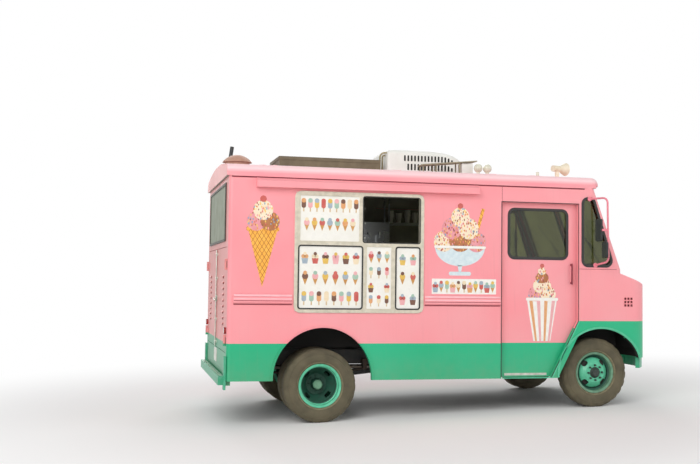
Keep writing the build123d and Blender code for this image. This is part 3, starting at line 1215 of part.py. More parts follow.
AXLE_LINE = Axis((0, 0, 0), (0, 1, 0))
front_flat = 78.0
with BuildPart() as front_rim:
    add(wheel_sketch(
        barrel(0), disc(front_flat, 2.0, DISC_T),
        [(-48, SPINDLE_R + RUN), (-48, 56), (front_flat + 4, HUB_R), (front_flat + 9, HUB_R), (front_flat + 30, 44),
         (front_flat + 36, 40), (front_flat + 36, 0), (98, 0), (98, SPINDLE_R + RUN)],
        [(-30, 50), (-30, 162), (-52, 162), (-52, 152), (-40, 152), (-40, 50)],
    ))
    revolve(axis=AXLE_LINE)
    with BuildSketch(Plane.XZ.offset(-120)):
        with PolarLocations(HAND_R, HAND_HOLES, 45):
            SlotOverall(HAND_SIZE[0], HAND_SIZE[1], rotation=90)
    extrude(amount=150, mode=Mode.SUBTRACT)
    with BuildSketch(Plane.XZ.offset(-front_flat - 24)):
        with PolarLocations(STUD_CIRCLE_R, STUDS):
            RegularPolygon(12, 6)
    extrude(amount=20)
    with BuildSketch(Plane.XZ.offset(-front_flat - 38)):
        with PolarLocations(STUD_CIRCLE_R, STUDS):
            Circle(STUD_R)
    extrude(amount=16)

dual = DUAL_SPACING / 2
with BuildPart() as rear_rim:
    add(wheel_sketch(
        barrel(dual), disc(0.0, dual - 22, DISC_T), barrel(-dual), disc(0.0, -dual + 22, -DISC_T),
        [(-128, REAR_SPINDLE_R + RUN), (-128, 56), (-9, HUB_R), (9, HUB_R), (100, 52), (112, 44), (118, 40), (118, 0),
         (112, 0), (112, REAR_SPINDLE_R + RUN)],
        [(-9, 50), (-9, 162), (-125, 162), (-125, 152), (-19, 152), (-19, 50)],
    ))
    revolve(axis=AXLE_LINE)
    with BuildSketch(Plane.XZ.offset(-dual - 60)):
        with PolarLocations(HAND_R + 8, HAND_HOLES, 45):
            SlotOverall(HAND_SIZE[0], HAND_SIZE[1] - 10, rotation=90)
    extrude(amount=2 * dual - 60, mode=Mode.SUBTRACT)
    with BuildSketch(Plane.XZ.offset(-30)):
        with PolarLocations(STUD_CIRCLE_R, STUDS):
            RegularPolygon(12, 6)
    extrude(amount=24)
    with BuildSketch(Plane.XZ.offset(-44)):
        with PolarLocations(STUD_CIRCLE_R, STUDS):
            Circle(STUD_R)
    extrude(amount=16)

TREAD_W = 164.0
TYRE_SIDES = 48
TYRE_STATIONS = (
    # distance from the tyre's middle, radius, over the tread from bead to bead
    (-72.0, FLANGE_R + 6), (-TYRE_W / 2, 300.0), (-TYRE_W / 2 + 8, 352.0), (-TREAD_W / 2, TYRE_R),
    (TREAD_W / 2, TYRE_R), (TYRE_W / 2 - 8, 352.0), (TYRE_W / 2, 300.0), (72.0, FLANGE_R + 6),
)
flat_out = cos(radians(180 / TYRE_SIDES))
with BuildPart() as tyre:
    for s, r in TYRE_STATIONS:
        with BuildSketch(Plane.XZ.offset(-s)):
            RegularPolygon(r / flat_out, TYRE_SIDES, rotation=180 / TYRE_SIDES)
    loft(ruled=True)
    with BuildSketch(Plane.XZ.offset(-TYRE_W)):
        RegularPolygon((SEAT_R + RUN) / flat_out, TYRE_SIDES, rotation=180 / TYRE_SIDES)
    extrude(amount=2 * TYRE_W, mode=Mode.SUBTRACT)
with BuildPart() as dual_tyres:
    for side in (1, -1):
        add(tyre.part.moved(Location((0, side * dual, 0))))

for name, x, track, rim, rubber in (
    ("front", WHEELBASE, FRONT_TRACK, front_rim, tyre),
    ("rear", 0.0, REAR_TRACK, rear_rim, dual_tyres),
):
    place = Location((x, track / 2, TYRE_R))
    for piece, kind in ((rim, "rim"), (rubber, "tyre")):
        standing = piece.part.moved(place)
        keep(standing, f"{kind}_{name}_left", raked=False)
        keep(left_of(standing), f"{kind}_{name}_right", raked=False)

# The body, with all that it carries, turns nose down about the rear axle; then the whole
# truck is moved so that its origin is on the ground under its middle
turn = Location((0, 0, TYRE_R), (0, RAKE, 0)) * Location((0, 0, -TYRE_R))
standing = [(node, turn * piece if raked else piece) for node, piece, raked in PIECES]
whole = Compound(children=[Compound(piece.wrapped) for node, piece in standing]).bounding_box()
middle = Location((-(whole.min.X + whole.max.X) / 2, -(whole.min.Y + whole.max.Y) / 2, -whole.min.Z))
print("rear axle from the origin", round(middle.position.X, 3), round(middle.position.Y, 3), round(middle.position.Z, 3))
for node, piece in standing:
    placed = middle * piece
    placed.label = node
    export_step(placed, f"parts/{node}.step")
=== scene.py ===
import math
import bmesh
import bpy
from mathutils import Matrix, Vector


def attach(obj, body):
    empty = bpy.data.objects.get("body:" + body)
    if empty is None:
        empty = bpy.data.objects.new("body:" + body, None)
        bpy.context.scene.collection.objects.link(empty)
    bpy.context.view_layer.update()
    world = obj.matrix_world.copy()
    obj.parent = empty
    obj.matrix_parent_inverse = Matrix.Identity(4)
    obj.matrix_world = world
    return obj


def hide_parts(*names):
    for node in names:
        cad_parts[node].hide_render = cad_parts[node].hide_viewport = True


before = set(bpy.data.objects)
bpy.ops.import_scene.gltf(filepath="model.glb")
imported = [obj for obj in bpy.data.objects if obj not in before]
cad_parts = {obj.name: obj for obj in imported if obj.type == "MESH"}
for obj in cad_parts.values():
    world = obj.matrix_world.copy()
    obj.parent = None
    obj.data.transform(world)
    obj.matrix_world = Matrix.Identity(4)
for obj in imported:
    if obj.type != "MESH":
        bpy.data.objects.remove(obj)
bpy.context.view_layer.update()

# The view: a camera at eye height off the right side, turned a little towards the nose. A pale
# studio floor and backdrop, a large soft lamp to the left, a weaker one to the right and one
# behind the truck.
EYE = (-3.4546, -11.138, 1.566)
YAW, PITCH, ROLL = (math.radians(angle) for angle in (13.34, 2.39, -1.13))
SENSOR = 36.0
FOCAL_PIXELS = 973.5
PHOTO_WIDTH = 700
ahead = Vector((math.sin(YAW) * math.cos(PITCH), math.cos(YAW) * math.cos(PITCH), math.sin(PITCH)))
level = Vector((math.cos(YAW), -math.sin(YAW), 0))
above = level.cross(ahead)
across = level * math.cos(ROLL) + above * math.sin(ROLL)
upward = above * math.cos(ROLL) - level * math.sin(ROLL)
camera = bpy.data.objects.new("camera", bpy.data.cameras.new("camera"))
camera.data.sensor_width = SENSOR
camera.data.lens = FOCAL_PIXELS / PHOTO_WIDTH * SENSOR
turned = Matrix((across, upward, -ahead)).transposed()
camera.matrix_world = Matrix.Translation(EYE) @ turned.to_4x4()
bpy.context.scene.collection.objects.link(camera)
bpy.context.scene.camera = camera
bpy.context.scene.view_settings.view_transform = "Standard"


def linear(code):
    """An sRGB hex colour as linear red, green, blue and alpha."""
    parts = [int(code[i:i + 2], 16) / 255 for i in (1, 3, 5)]
    return tuple(c / 12.92 if c <= 0.04045 else ((c + 0.055) / 1.055) ** 2.4 for c in parts) + (1.0,)


def node(tree, kind, sockets=None, **settings):
    """Adds a node: sockets take values or other nodes' outputs, settings are its own properties."""
    made = tree.nodes.new(kind)
    for key, value in settings.items():
        setattr(made, key, value)
    for key, value in (sockets or {}).items():
        if isinstance(value, bpy.types.NodeSocket):
            tree.links.new(value, made.inputs[key])
        else:
            made.inputs[key].default_value = value
    return made


def shaded(name, sockets):
    """A new material with its shader, whose sockets are set by name."""
    mat = bpy.data.materials.new(name)
    mat.use_nodes = True
    mat.node_tree.nodes.clear()
    shader = node(mat.node_tree, "ShaderNodeBsdfPrincipled", sockets)
    node(mat.node_tree, "ShaderNodeOutputMaterial", {"Surface": shader.outputs[0]})
    return mat, mat.node_tree, shader


def backdrop_rays(tree):
    """1 for rays from the camera, off gloss or through glass, which see the backdrop plain white."""
    rays = node(tree, "ShaderNodeLightPath").outputs
    seen = rays["Is Camera Ray"]
    for kind in ("Is Glossy Ray", "Is Transmission Ray"):
        seen = node(tree, "ShaderNodeMath", {0: seen, 1: rays[kind]}, operation="MAXIMUM").outputs[0]
    return seen


STUDIO = 60.0
FADE_FROM, FADE_TO = 3.0, 8.0
floor_mesh = bpy.data.meshes.new("studio_floor")
corners = [(sx * STUDIO, sy * STUDIO, 0) for sx, sy in ((-1, -1), (1, -1), (1, 1), (-1, 1))]
floor_mesh.from_pydata(corners, [], [(0, 1, 2, 3)])
studio_floor = bpy.data.objects.new("studio_floor", floor_mesh)
bpy.context.scene.collection.objects.link(studio_floor)
# matt white paint that keeps the truck's shadow and goes over into plain white further off, so
# that no horizon shows
floor_mat, floor_tree, floor_shader = shaded("white_studio_paint", {
    "Base Color": linear("#FAF9F7"), "Roughness": 0.9, "Specular IOR Level": 0.1})
plainly = backdrop_rays(floor_tree)
floor_place = node(floor_tree, "ShaderNodeTexCoord").outputs["Object"]
away = node(floor_tree, "ShaderNodeVectorMath", {0: floor_place}, operation="LENGTH")
fade = node(floor_tree, "ShaderNodeMapRange", {0: away.outputs["Value"], 1: FADE_FROM, 2: FADE_TO},
            interpolation_type="SMOOTHSTEP")
share = node(floor_tree, "ShaderNodeMath", {0: plainly, 1: fade.outputs[0]}, operation="MULTIPLY")
white_floor = node(floor_tree, "ShaderNodeEmission", {"Color": (1, 1, 1, 1), "Strength": 1.0})
painted = node(floor_tree, "ShaderNodeMixShader", {
    0: share.outputs[0], 1: floor_shader.outputs[0], 2: white_floor.outputs[0]})
floor_end = [n for n in floor_tree.nodes if n.type == "OUTPUT_MATERIAL"][0]
floor_tree.links.new(painted.outputs[0], floor_end.inputs["Surface"])
floor_mesh.materials.append(floor_mat)
LAMP_AIM = Vector((0.3, 0, 1.2))
LAMPS = (
    # name, place and size in metres, watts
    ("key_lamp", (-9.0, -13.0, 9.5), 12.0, 1800), ("side_lamp", (11.0, -9.0, 7.0), 11.0, 620),
    ("back_lamp", (1.0, 13.0, 9.0), 12.0, 1000),
)
for name, place, size, power in LAMPS:
    lamp = bpy.data.objects.new(name, bpy.data.lights.new(name, "AREA"))
    lamp.data.size = size
    lamp.data.energy = power
    lamp.location = place
    lamp.rotation_euler = (LAMP_AIM - lamp.location).to_track_quat("-Z", "Y").to_euler()
    bpy.context.scene.collection.objects.link(lamp)
world = bpy.data.worlds.new("studio")
world.use_nodes = True
world.node_tree.nodes.clear()
soft_sky = node(world.node_tree, "ShaderNodeBackground", {"Color": linear("#F6F8FC"), "Strength": 0.33})
white_wall = node(world.node_tree, "ShaderNodeBackground", {"Color": (1, 1, 1, 1), "Strength": 1.0})
backdrop = node(world.node_tree, "ShaderNodeMixShader", {
    0: backdrop_rays(world.node_tree), 1: soft_sky.outputs[0], 2: white_wall.outputs[0]})
node(world.node_tree, "ShaderNodeOutputWorld", {"Surface": backdrop.outputs[0]})
bpy.context.scene.world = world

# Chassis: two pressed steel channels with cross members, beam axles on leaf springs and a round
# fuel tank, all in brushed black chassis paint but the springs, which are bare scaled steel.
MM = 0.001


def mottled_parts(name, light, dark, patch, grain, depth, rough, sockets=None):
    """A material of two close colours in patches, with a grain raised by depth, all in mm.

    A grain finer than the render shows is drawn coarser than the real one, from 1 to 8 mm.
    Gives the material, its tree, shader, place and colour, for finishes that need more on top.
    """
    mat, tree, shader = shaded(name, sockets)
    place = node(tree, "ShaderNodeTexCoord").outputs["Object"]
    blotch = node(tree, "ShaderNodeTexNoise", {"Vector": place, "Scale": 1000 / patch, "Detail": 5.0})
    share = node(tree, "ShaderNodeMapRange", {0: blotch.outputs[0], 1: 0.32, 2: 0.68})
    colour = node(tree, "ShaderNodeMix", {0: share.outputs[0], 6: linear(light), 7: linear(dark)},
                  data_type="RGBA")
    tree.links.new(colour.outputs[2], shader.inputs["Base Color"])
    fine = node(tree, "ShaderNodeTexNoise", {"Vector": place, "Scale": 1000 / grain, "Detail": 3.0})
    dull = node(tree, "ShaderNodeMapRange", {0: blotch.outputs[0], 3: rough * 0.8, 4: rough * 1.2})
    tree.links.new(dull.outputs[0], shader.inputs["Roughness"])
    bump = node(tree, "ShaderNodeBump", {
        "Height": fine.outputs[0], "Distance": depth / 1000, "Strength": 0.8})
    tree.links.new(bump.outputs[0], shader.inputs["Normal"])
    return mat, tree, shader, place, colour


def mottled(*look):
    """The same, where the finished material is all that is needed."""
    return mottled_parts(*look)[0]


def coat(names, mats, pick=None):
    """Gives nodes of the frame their material, or one of several that pick names for a face."""
    for name in names.split():
        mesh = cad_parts[name].data
        mesh.materials.clear()
        for mat in mats:
            mesh.materials.append(mat)
        for face in mesh.polygons:
            face.material_index = pick(face.center, face.normal) if pick else 0


# brushed black paint, brown where dust lies on it
chassis_black = mottled("chassis_black_paint", "#26282A", "#3B3833", 70, 6, 0.3, 0.55)
# hot-rolled steel, its brown scale worn to a dull sheen
spring_steel = mottled("scale_brown_spring_steel", "#3A3430", "#54453A", 40, 4, 0.3, 0.6, {"Metallic": 0.6})
coat("chassis_frame axles knuckle_left knuckle_right tie_rod fuel_tank", [chassis_black])
coat("springs", [spring_steel])

# Engine, gearbox and shaft in grey cast iron, and the exhaust in rolled aluminised tube. The
# floor is folded aluminium plate, bare above and tarred below; the tar's black is also painted
# shade in the wheel arches.

# sand-cast iron, rough and dark, with oil in its grain
cast_iron = mottled("grey_cast_iron", "#5C5E5E", "#44423F", 30, 2.5, 0.5, 0.6, {"Metallic": 0.5})
# silvery steel that the heat has browned in patches
exhaust_steel = mottled("aluminised_exhaust_steel", "#8D8B86", "#6F5F50", 90, 5, 0.2, 0.45, {"Metallic": 0.9})
# bare plate, dull and grey from shoes
floor_metal = mottled("scuffed_floor_plate", "#8B8D8C", "#6E6F6D", 120, 8, 0.5, 0.5, {"Metallic": 0.8})
# thick sprayed tar, nearly black and without shine, whose black also stands in as painted shade
# in the wheel arches and in the roof cover's slots
undercoat_and_shade = mottled("black_tar_undercoat_and_painted_shade", "#161615", "#24221F", 60, 7, 0.8, 0.75)
coat("engine", [cast_iron])
coat("exhaust", [exhaust_steel])
coat("floor", [undercoat_and_shade, floor_metal], lambda c, n: 1 if n.z > 0.7 and abs(c.y) < 1.07 else 0)

# Body: riveted aluminium panels in two coats of brushed enamel, pink above and green below,
# a little faded, with rain streaks and dust along the skirt. It sits nose down on its springs.
RAKE = math.radians(1.92)
AXLE_X = 1421.562
AXLE_Z = 385.0
HALF_W = 1125.0
# the green reaches to BAND_Z, and climbs to BAND_HIGH between the two places along the body
BAND_Z = 831.0
BAND_HIGH = 1075.0
BAND_X = (2786.0, 2918.0)


def on_truck(x, y, z):
    """A point of the body, in mm from the rear axle with z from the ground, in the shared frame."""
    along = x * math.cos(RAKE) + (z - AXLE_Z) * math.sin(RAKE) - AXLE_X
    height = AXLE_Z - x * math.sin(RAKE) + (z - AXLE_Z) * math.cos(RAKE)
    return Vector((along, y, height)) * MM


def on_body(point):
    """The reverse of on_truck: body millimetres of a point in the shared frame."""
    along, up = point.x / MM + AXLE_X, point.z / MM - AXLE_Z
    return (along * math.cos(RAKE) - up * math.sin(RAKE), point.y / MM,
            AXLE_Z + along * math.sin(RAKE) + up * math.cos(RAKE))


def body_axis(tree, place, along):
    """A body coordinate in metres, x along or z up, from the place in the shared frame."""
    c, s = math.cos(RAKE), math.sin(RAKE)
    way = (c, 0, -s) if along else (s, 0, c)
    start = (AXLE_X * c + AXLE_Z * s, AXLE_X * s + AXLE_Z * (1 - c))[0 if along else 1] * MM
    dot = node(tree, "ShaderNodeVectorMath", {0: place, 1: way}, operation="DOT_PRODUCT")
    return node(tree, "ShaderNodeMath", {0: dot.outputs["Value"], 1: start}, operation="ADD").outputs[0]


def enamel(name, upper, upper_faded, lower, lower_faded):
    """Brushed enamel on panels, one colour above the band's edge and one below it."""
    mat, tree, shader, place, colour = mottled_parts(
        name, upper, upper_faded, 700, 2.2, 0.12, 0.42,
        {"Coat Weight": 0.1, "Coat Roughness": 0.3, "IOR": 1.5})
    x = body_axis(tree, place, True)
    z = body_axis(tree, place, False)
    edge = node(tree, "ShaderNodeMapRange", {
        0: x, 1: BAND_X[0] * MM, 2: BAND_X[1] * MM, 3: BAND_Z * MM, 4: BAND_HIGH * MM})
    under = node(tree, "ShaderNodeMath", {0: z, 1: edge.outputs[0]}, operation="LESS_THAN")
    fading = colour.inputs[0].links[0].from_socket
    low = node(tree, "ShaderNodeMix", {0: fading, 6: linear(lower), 7: linear(lower_faded)}, data_type="RGBA")
    both = node(tree, "ShaderNodeMix", {0: under.outputs[0], 6: colour.outputs[2], 7: low.outputs[2]},
                data_type="RGBA")
    # rain streaks, about 25 mm wide and 600 mm long
    streak = node(tree, "ShaderNodeMapping", {0: place, 3: (40.0, 40.0, 1.6)})
    wet = node(tree, "ShaderNodeTexNoise", {"Vector": streak.outputs[0], "Scale": 1.0, "Detail": 4.0})
    run = node(tree, "ShaderNodeMapRange", {0: wet.outputs[0], 1: 0.58, 2: 0.85, 3: 0.0, 4: 0.1})
    streaked = node(tree, "ShaderNodeMix", {0: run.outputs[0], 6: both.outputs[2], 7: linear("#8F7A70")},
                    data_type="RGBA")
    # dust, thick along the skirt and gone 350 mm above it
    low_down = node(tree, "ShaderNodeMapRange", {0: z, 1: 0.42, 2: 0.8, 3: 0.38, 4: 0.0})
    cloud = node(tree, "ShaderNodeTexNoise", {"Vector": place, "Scale": 1000 / 90, "Detail": 6.0})
    dust = node(tree, "ShaderNodeMath", {0: low_down.outputs[0], 1: cloud.outputs[0]}, operation="MULTIPLY")
    dusty = node(tree, "ShaderNodeMix", {0: dust.outputs[0], 6: streaked.outputs[2], 7: linear("#8C8371")},
                 data_type="RGBA")
    tree.links.new(dusty.outputs[2], shader.inputs["Base Color"])
    return mat


# brushed enamel: flat bright colour with a soft sheen and faint brush marks
body_enamel = enamel("pink_and_green_brushed_enamel", "#F6969C", "#F3A0A5", "#0EAC78", "#1CB381")
# a darker, duller copy of the same enamel on the rear: painted shade of the rear face, with some
# exhaust dirt
rear_shade_and_dirt_enamel = enamel("rear_enamel_painted_shade_and_dirt", "#E5928F", "#DA8C86", "#2C9A6F", "#3B9A70")
# rolled wall paint inside, warm grey and matt
liner = mottled("grey_wall_liner", "#A8A699", "#97958A", 160, 4, 0.15, 0.6)


def inward(c, n):
    """1 for a face that looks into the body, 0 for one that shows outside."""
    x, y, z = on_body(c)
    if abs(y) < 1112 and n.y * y < -0.5 * abs(y):
        return 1
    return 1 if (x < -900 and n.x > 0.5) or (z > 2500 and n.z < -0.3 and abs(y) < 1100) else 0


def rear_door_faces(c, n):
    """1 for the lined back of a rear door, 0 for what shows outside."""
    return 1 if n.x > 0.5 else 0


def cab_front_faces(c, n):
    """1 for the lined back of the windscreen's frame and pillars, 0 for what shows outside."""
    return 1 if abs(c.y) < 1.0 and n.x < -0.5 else inward(c, n)


def arch_side(c, n):
    """1 for the inner faces of the nose and its arches: tar, whose black is also painted shade there."""
    x, y, z = on_body(c)
    if abs(x - 3490) < 25 and z > 1597:
        return 0  # the hinges of the hood, which stand on its skin
    if n.y * y < -0.3 * abs(y) and abs(y) < 1115:
        return 1
    return 1 if (n.x < -0.4 and x > 3500) or n.z < -0.8 else 0


coat("side_right side_left window_hood", [body_enamel, liner], inward)
# the rear doors take a darker copy of the enamel: painted shade of the rear face
coat("rear_door_right rear_door_left", [rear_shade_and_dirt_enamel, liner], rear_door_faces)
coat("cab_front", [body_enamel, liner], cab_front_faces)
# the insides of the arches are black: tar and painted shade
coat("nose hood", [body_enamel, undercoat_and_shade], arch_side)

# Roof: a crowned aluminium skin in the same pink, rolled on. Whatever looks upwards is painted
# paler as a painted highlight of light from above, and its rear end carries the same painted shade
# as the doors below.


def roof_skin_faces(c, n):
    """2 for the roof's rear end, 1 for its lined underside, 0 for the rest."""
    return 2 if n.x < -0.95 and c.x < -2.3 else inward(c, n)


# enamel with a painted highlight: pale on top, as if lit from above, full pink down the sides
roof_enamel, roof_tree, roof_shader, _, roof_colour = mottled_parts(
    "pink_roof_enamel_painted_sunlit_top", "#F79CA4", "#F2A5AA", 400, 3, 0.15, 0.62, {"Specular IOR Level": 0.3})
facing = node(roof_tree, "ShaderNodeTexCoord").outputs["Normal"]
up = node(roof_tree, "ShaderNodeVectorMath", {0: facing, 1: (0, 0, 1)}, operation="DOT_PRODUCT")
# faces are painted paler the more they look up: painted light from above
painted_sunlit_share = node(roof_tree, "ShaderNodeMapRange", {0: up.outputs["Value"], 1: 0.0, 2: 0.45, 3: 0.0, 4: 0.95})
painted_sunlit_top = node(roof_tree, "ShaderNodeMix", {
    0: painted_sunlit_share.outputs[0], 6: roof_colour.outputs[2], 7: linear("#FCD6D8")}, data_type="RGBA")
roof_tree.links.new(painted_sunlit_top.outputs[2], roof_shader.inputs["Base Color"])
coat("roof", [roof_enamel, liner, rear_shade_and_dirt_enamel], roof_skin_faces)

# Rear wall: the doors' frame in enamel, and above it a blank board of painted hardboard held
# by a dark pressed moulding screwed round it.

# brushed board paint, olive grey and matt with age
board_paint = mottled("olive_grey_board_paint", "#8E9682", "#7F8773", 180, 3, 0.15, 0.55)
# rolled steel strip in old dark paint
moulding = mottled("dark_olive_moulding", "#45443A", "#37362E", 50, 2, 0.15, 0.5)


def rear_faces(c, n):
    """Board, moulding, lining or enamel, by where a face of the rear wall lies."""
    x, y, z = on_body(c)
    if x < -994 and abs(y) < 871 and 1889 < z < 2511:
        return 2 if abs(y) < 844 and 1916 < z < 2484 and x > -1005 else 3
    return 1 if x > -990 and n.x > 0.5 else 0


# the rear wall takes the same painted shade as the rear doors
coat("rear_wall", [rear_shade_and_dirt_enamel, liner, board_paint, moulding], rear_faces)

# Panel seams: rows of flush rivets set by hand in the same enamel, along the sheets' edges,
# under the gutter, on both lines of the pressed rail and beside the pillars.
BED = -0.3  # a thin piece sinks this far into the face that it lies on, in mm


class Drawing:
    """One piece drawn in flat millimetres and placed on a face of the truck."""

    def __init__(self, place):
        self.place = place
        self.points = []
        self.faces = []
        self.coats = []

    def loop(self, outline, out):
        """Adds the points of an outline at a height off the face."""
        first = len(self.points)
        self.points += [self.place(u, v, out) for u, v in outline]
        return list(range(first, len(self.points)))

    def skin(self, a, b, coat_no):
        """Joins two loops of like count by four-sided faces."""
        for i in range(len(a)):
            j = (i + 1) % len(a)
            self.faces.append((a[i], a[j], b[j], b[i]))
            self.coats.append(coat_no)

    def solid(self, loops, coat_no=0):
        """Joins loops in their order and caps the two ends."""
        for a, b in zip(loops, loops[1:]):
            self.skin(a, b, coat_no)
        self.faces += [tuple(reversed(loops[0])), tuple(loops[-1])]
        self.coats += [coat_no, coat_no]

    def slab(self, outline, near, far, coat_no=0, bevel=0.0):
        """A flat plate between two heights, its outer edge taken down by a bevel."""
        loops = [self.loop(outline, near)]
        if bevel:
            loops.append(self.loop(outline, far - bevel))
            middle = [sum(p[k] for p in outline) / len(outline) for k in (0, 1)]
            inner = []
            for u, v in outline:
                long = math.hypot(u - middle[0], v - middle[1])
                inner.append((u + (middle[0] - u) * bevel / long, v + (middle[1] - v) * bevel / long))
            outline = inner
        loops.append(self.loop(outline, far))
        self.solid(loops, coat_no)

    def frame(self, inner, outer, near, far, coat_no=0, crown=0.0):
        """A flat frame between two outlines of like count, its face crowned a little."""
        a, b = self.loop(outer, near), self.loop(outer, far)
        d, c = self.loop(inner, near), self.loop(inner, far)
        self.skin(a, b, coat_no)
        if crown:
            half = [((p[0] + q[0]) / 2, (p[1] + q[1]) / 2) for p, q in zip(inner, outer)]
            m = self.loop(half, far + crown)
            self.skin(b, m, coat_no)
            self.skin(m, c, coat_no)
        else:
            self.skin(b, c, coat_no)
        self.skin(c, d, coat_no)
        self.skin(d, a, coat_no)

    def band(self, inner, outer, near, far, coat_no=0):
        """An open flat strip between two lines of like count, closed at its ends."""
        a, b = self.loop(outer, near), self.loop(outer, far)
        d, c = self.loop(inner, near), self.loop(inner, far)
        rows = (a, b, c, d)
        for k in range(4):
            p, q = rows[k], rows[(k + 1) % 4]
            for i in range(len(p) - 1):
                self.faces.append((p[i], p[i + 1], q[i + 1], q[i]))
                self.coats.append(coat_no)
        for i in (0, -1):
            self.faces.append(tuple(r[i] for r in rows))
            self.coats.append(coat_no)

    def cut_plate(self, outlines, near, far, edge, coat_no=0):
        """A flat plate with openings, its edges rounded: the first outline is the outer one."""
        line = bpy.data.curves.new("cut_plate", "CURVE")
        line.dimensions = "2D"
        line.fill_mode = "BOTH"
        line.extrude = (far - near) / 2 - edge
        line.bevel_depth = edge
        line.bevel_resolution = 1
        line.offset = -edge
        for outline in outlines:
            spline = line.splines.new("POLY")
            spline.points.add(len(outline) - 1)
            for point, (u, v) in zip(spline.points, outline):
                point.co = (u, v, 0, 1)
            spline.use_cyclic_u = True
        holder = bpy.data.objects.new("cut_plate", line)
        flat = bpy.data.meshes.new_from_object(holder)
        first = len(self.points)
        self.points += [self.place(v.co.x, v.co.y, (near + far) / 2 + v.co.z) for v in flat.vertices]
        self.faces += [tuple(first + k for k in face.vertices) for face in flat.polygons]
        self.coats += [coat_no] * len(flat.polygons)
        bpy.data.objects.remove(holder)
        bpy.data.curves.remove(line)
        bpy.data.meshes.remove(flat)

    def tube(self, path, r, coat_no=0, sides=10):
        """A bent tube along points of the shared frame, closed at its ends."""
        rings = []
        for i, p in enumerate(path):
            way = (path[min(i + 1, len(path) - 1)] - path[max(i - 1, 0)]).normalized()
            side = way.cross(Vector((0, 1, 0)))
            side = (side if side.length > 0.1 else way.cross(Vector((1, 0, 0)))).normalized()
            up_way = way.cross(side)
            first = len(self.points)
            for k in range(sides):
                a = math.tau * k / sides
                self.points.append(p + (side * math.cos(a) + up_way * math.sin(a)) * r * MM)
            rings.append(list(range(first, first + sides)))
        self.solid(rings, coat_no)

    def dome(self, u, v, r, near, high, coat_no=0, sides=8):
        """A low round head, such as a rivet's or a screw's."""
        profile = ((1, 0), (0.86, 0.62), (0.45, 0.95))
        self.solid([self.loop(disc(u, v, r * k, sides), near + high * f) for k, f in profile], coat_no)

    def make(self, name, mats, body="truck", smooth=False):
        """The finished piece, riding on its body."""
        mesh = bpy.data.meshes.new(name)
        mesh.from_pydata(self.points, [], self.faces)
        for mat in mats:
            mesh.materials.append(mat)
        mesh.polygons.foreach_set("material_index", self.coats)
        shape = bmesh.new()
        shape.from_mesh(mesh)
        bmesh.ops.recalc_face_normals(shape, faces=shape.faces)
        shape.to_mesh(mesh)
        shape.free()
        if smooth:
            mesh.shade_smooth()
            mesh.set_sharp_from_angle(angle=math.radians(35))
        made = bpy.data.objects.new(name, mesh)
        bpy.context.scene.collection.objects.link(made)
        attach(made, body)
        return made


def disc(u, v, r, sides=24, tall=1.0):
    """Outline of a circle, or of an ellipse that is taller or lower than it is wide."""
    turns = [math.tau * i / sides for i in range(sides)]
    return [(u + r * math.cos(a), v + r * tall * math.sin(a)) for a in turns]


def flank(sign, half):
    """Places points on an upright face, half a width to the right (-1) or left (1) of the middle."""
    return lambda x, z, out: on_truck(x, sign * (half + out), z)


SIDES = (("right", -1), ("left", 1))
RIVET_R = 5.0
RIVET_PITCH = 75.0
RIVET_ROWS = (
    # from x and z to x and z: the level rows, then the upright ones
    (-930, 2545, 1990, 2545), (-930, 1228, -340, 1228), (1130, 1228, 1980, 1228), (-930, 1352, -340, 1352),
    (1130, 1352, 1980, 1352), (640, 470, 1990, 470), (-930, 470, -560, 470),
    (-940, 480, -940, 2530), (1968, 900, 1968, 2530), (-335, 1400, -335, 2530), (1133, 1400, 1133, 2530),
)
for name, sign in SIDES:
    heads = Drawing(flank(sign, HALF_W))
    for x0, z0, x1, z1 in RIVET_ROWS:
        count = int((x1 - x0 + z1 - z0) / RIVET_PITCH)
        for i in range(count + 1):
            heads.dome(x0 + (x1 - x0) * i / count, z0 + (z1 - z0) * i / count, RIVET_R, BED, 2.2)
    heads.make("rivets_" + name, [body_enamel])

# Trim: a beaded edge welded round each wheel arch, the pressed rail's crown, sealer run into the
# joints, black rubber round the door opening, and vents punched in the nose. Pale painted highlights
# lie on the rail's crown and on the green edges, and dark painted shadow under the rail, under the
# gutter and in the vents' hollows.
NOSE_TURN_X = 3582.0
NOSE_R = 220.0
# enamel painted pale along the crown: a painted highlight, the pale line where light would catch it
rail_highlight_enamel = mottled("pink_enamel_painted_highlight", "#FFC6CB", "#FBB6BC", 120, 3, 0.05, 0.2, {"Coat Weight": 0.6})
# the skirt's enamel again, glossier, and paler on the bent edge as a painted highlight
edge_highlight_enamel = mottled("green_edge_enamel_painted_highlight", "#58C79D", "#46BB8F", 80, 3, 0.08, 0.28, {"Coat Weight": 0.4})
# soft brushed sealer, a dark red line where dirt has stuck to it in the joints; the same dark red
# is also painted shadow under the rail and under the gutter, and painted shade in the nose vents
sealer_and_shadow = mottled("joint_sealer_and_painted_shadow", "#8E2F3C", "#7A2A34", 40, 3, 0.2, 0.6)
# extruded rubber, black and matt, a little grey with age
black_rubber = mottled("black_sash_rubber", "#1D1D1C", "#2B2A28", 30, 1.5, 0.15, 0.6, {"IOR": 1.52})


def box_of(x0, x1, z0, z1):
    """The four corners of an upright panel."""
    return [(x0, z0), (x1, z0), (x1, z1), (x0, z1)]


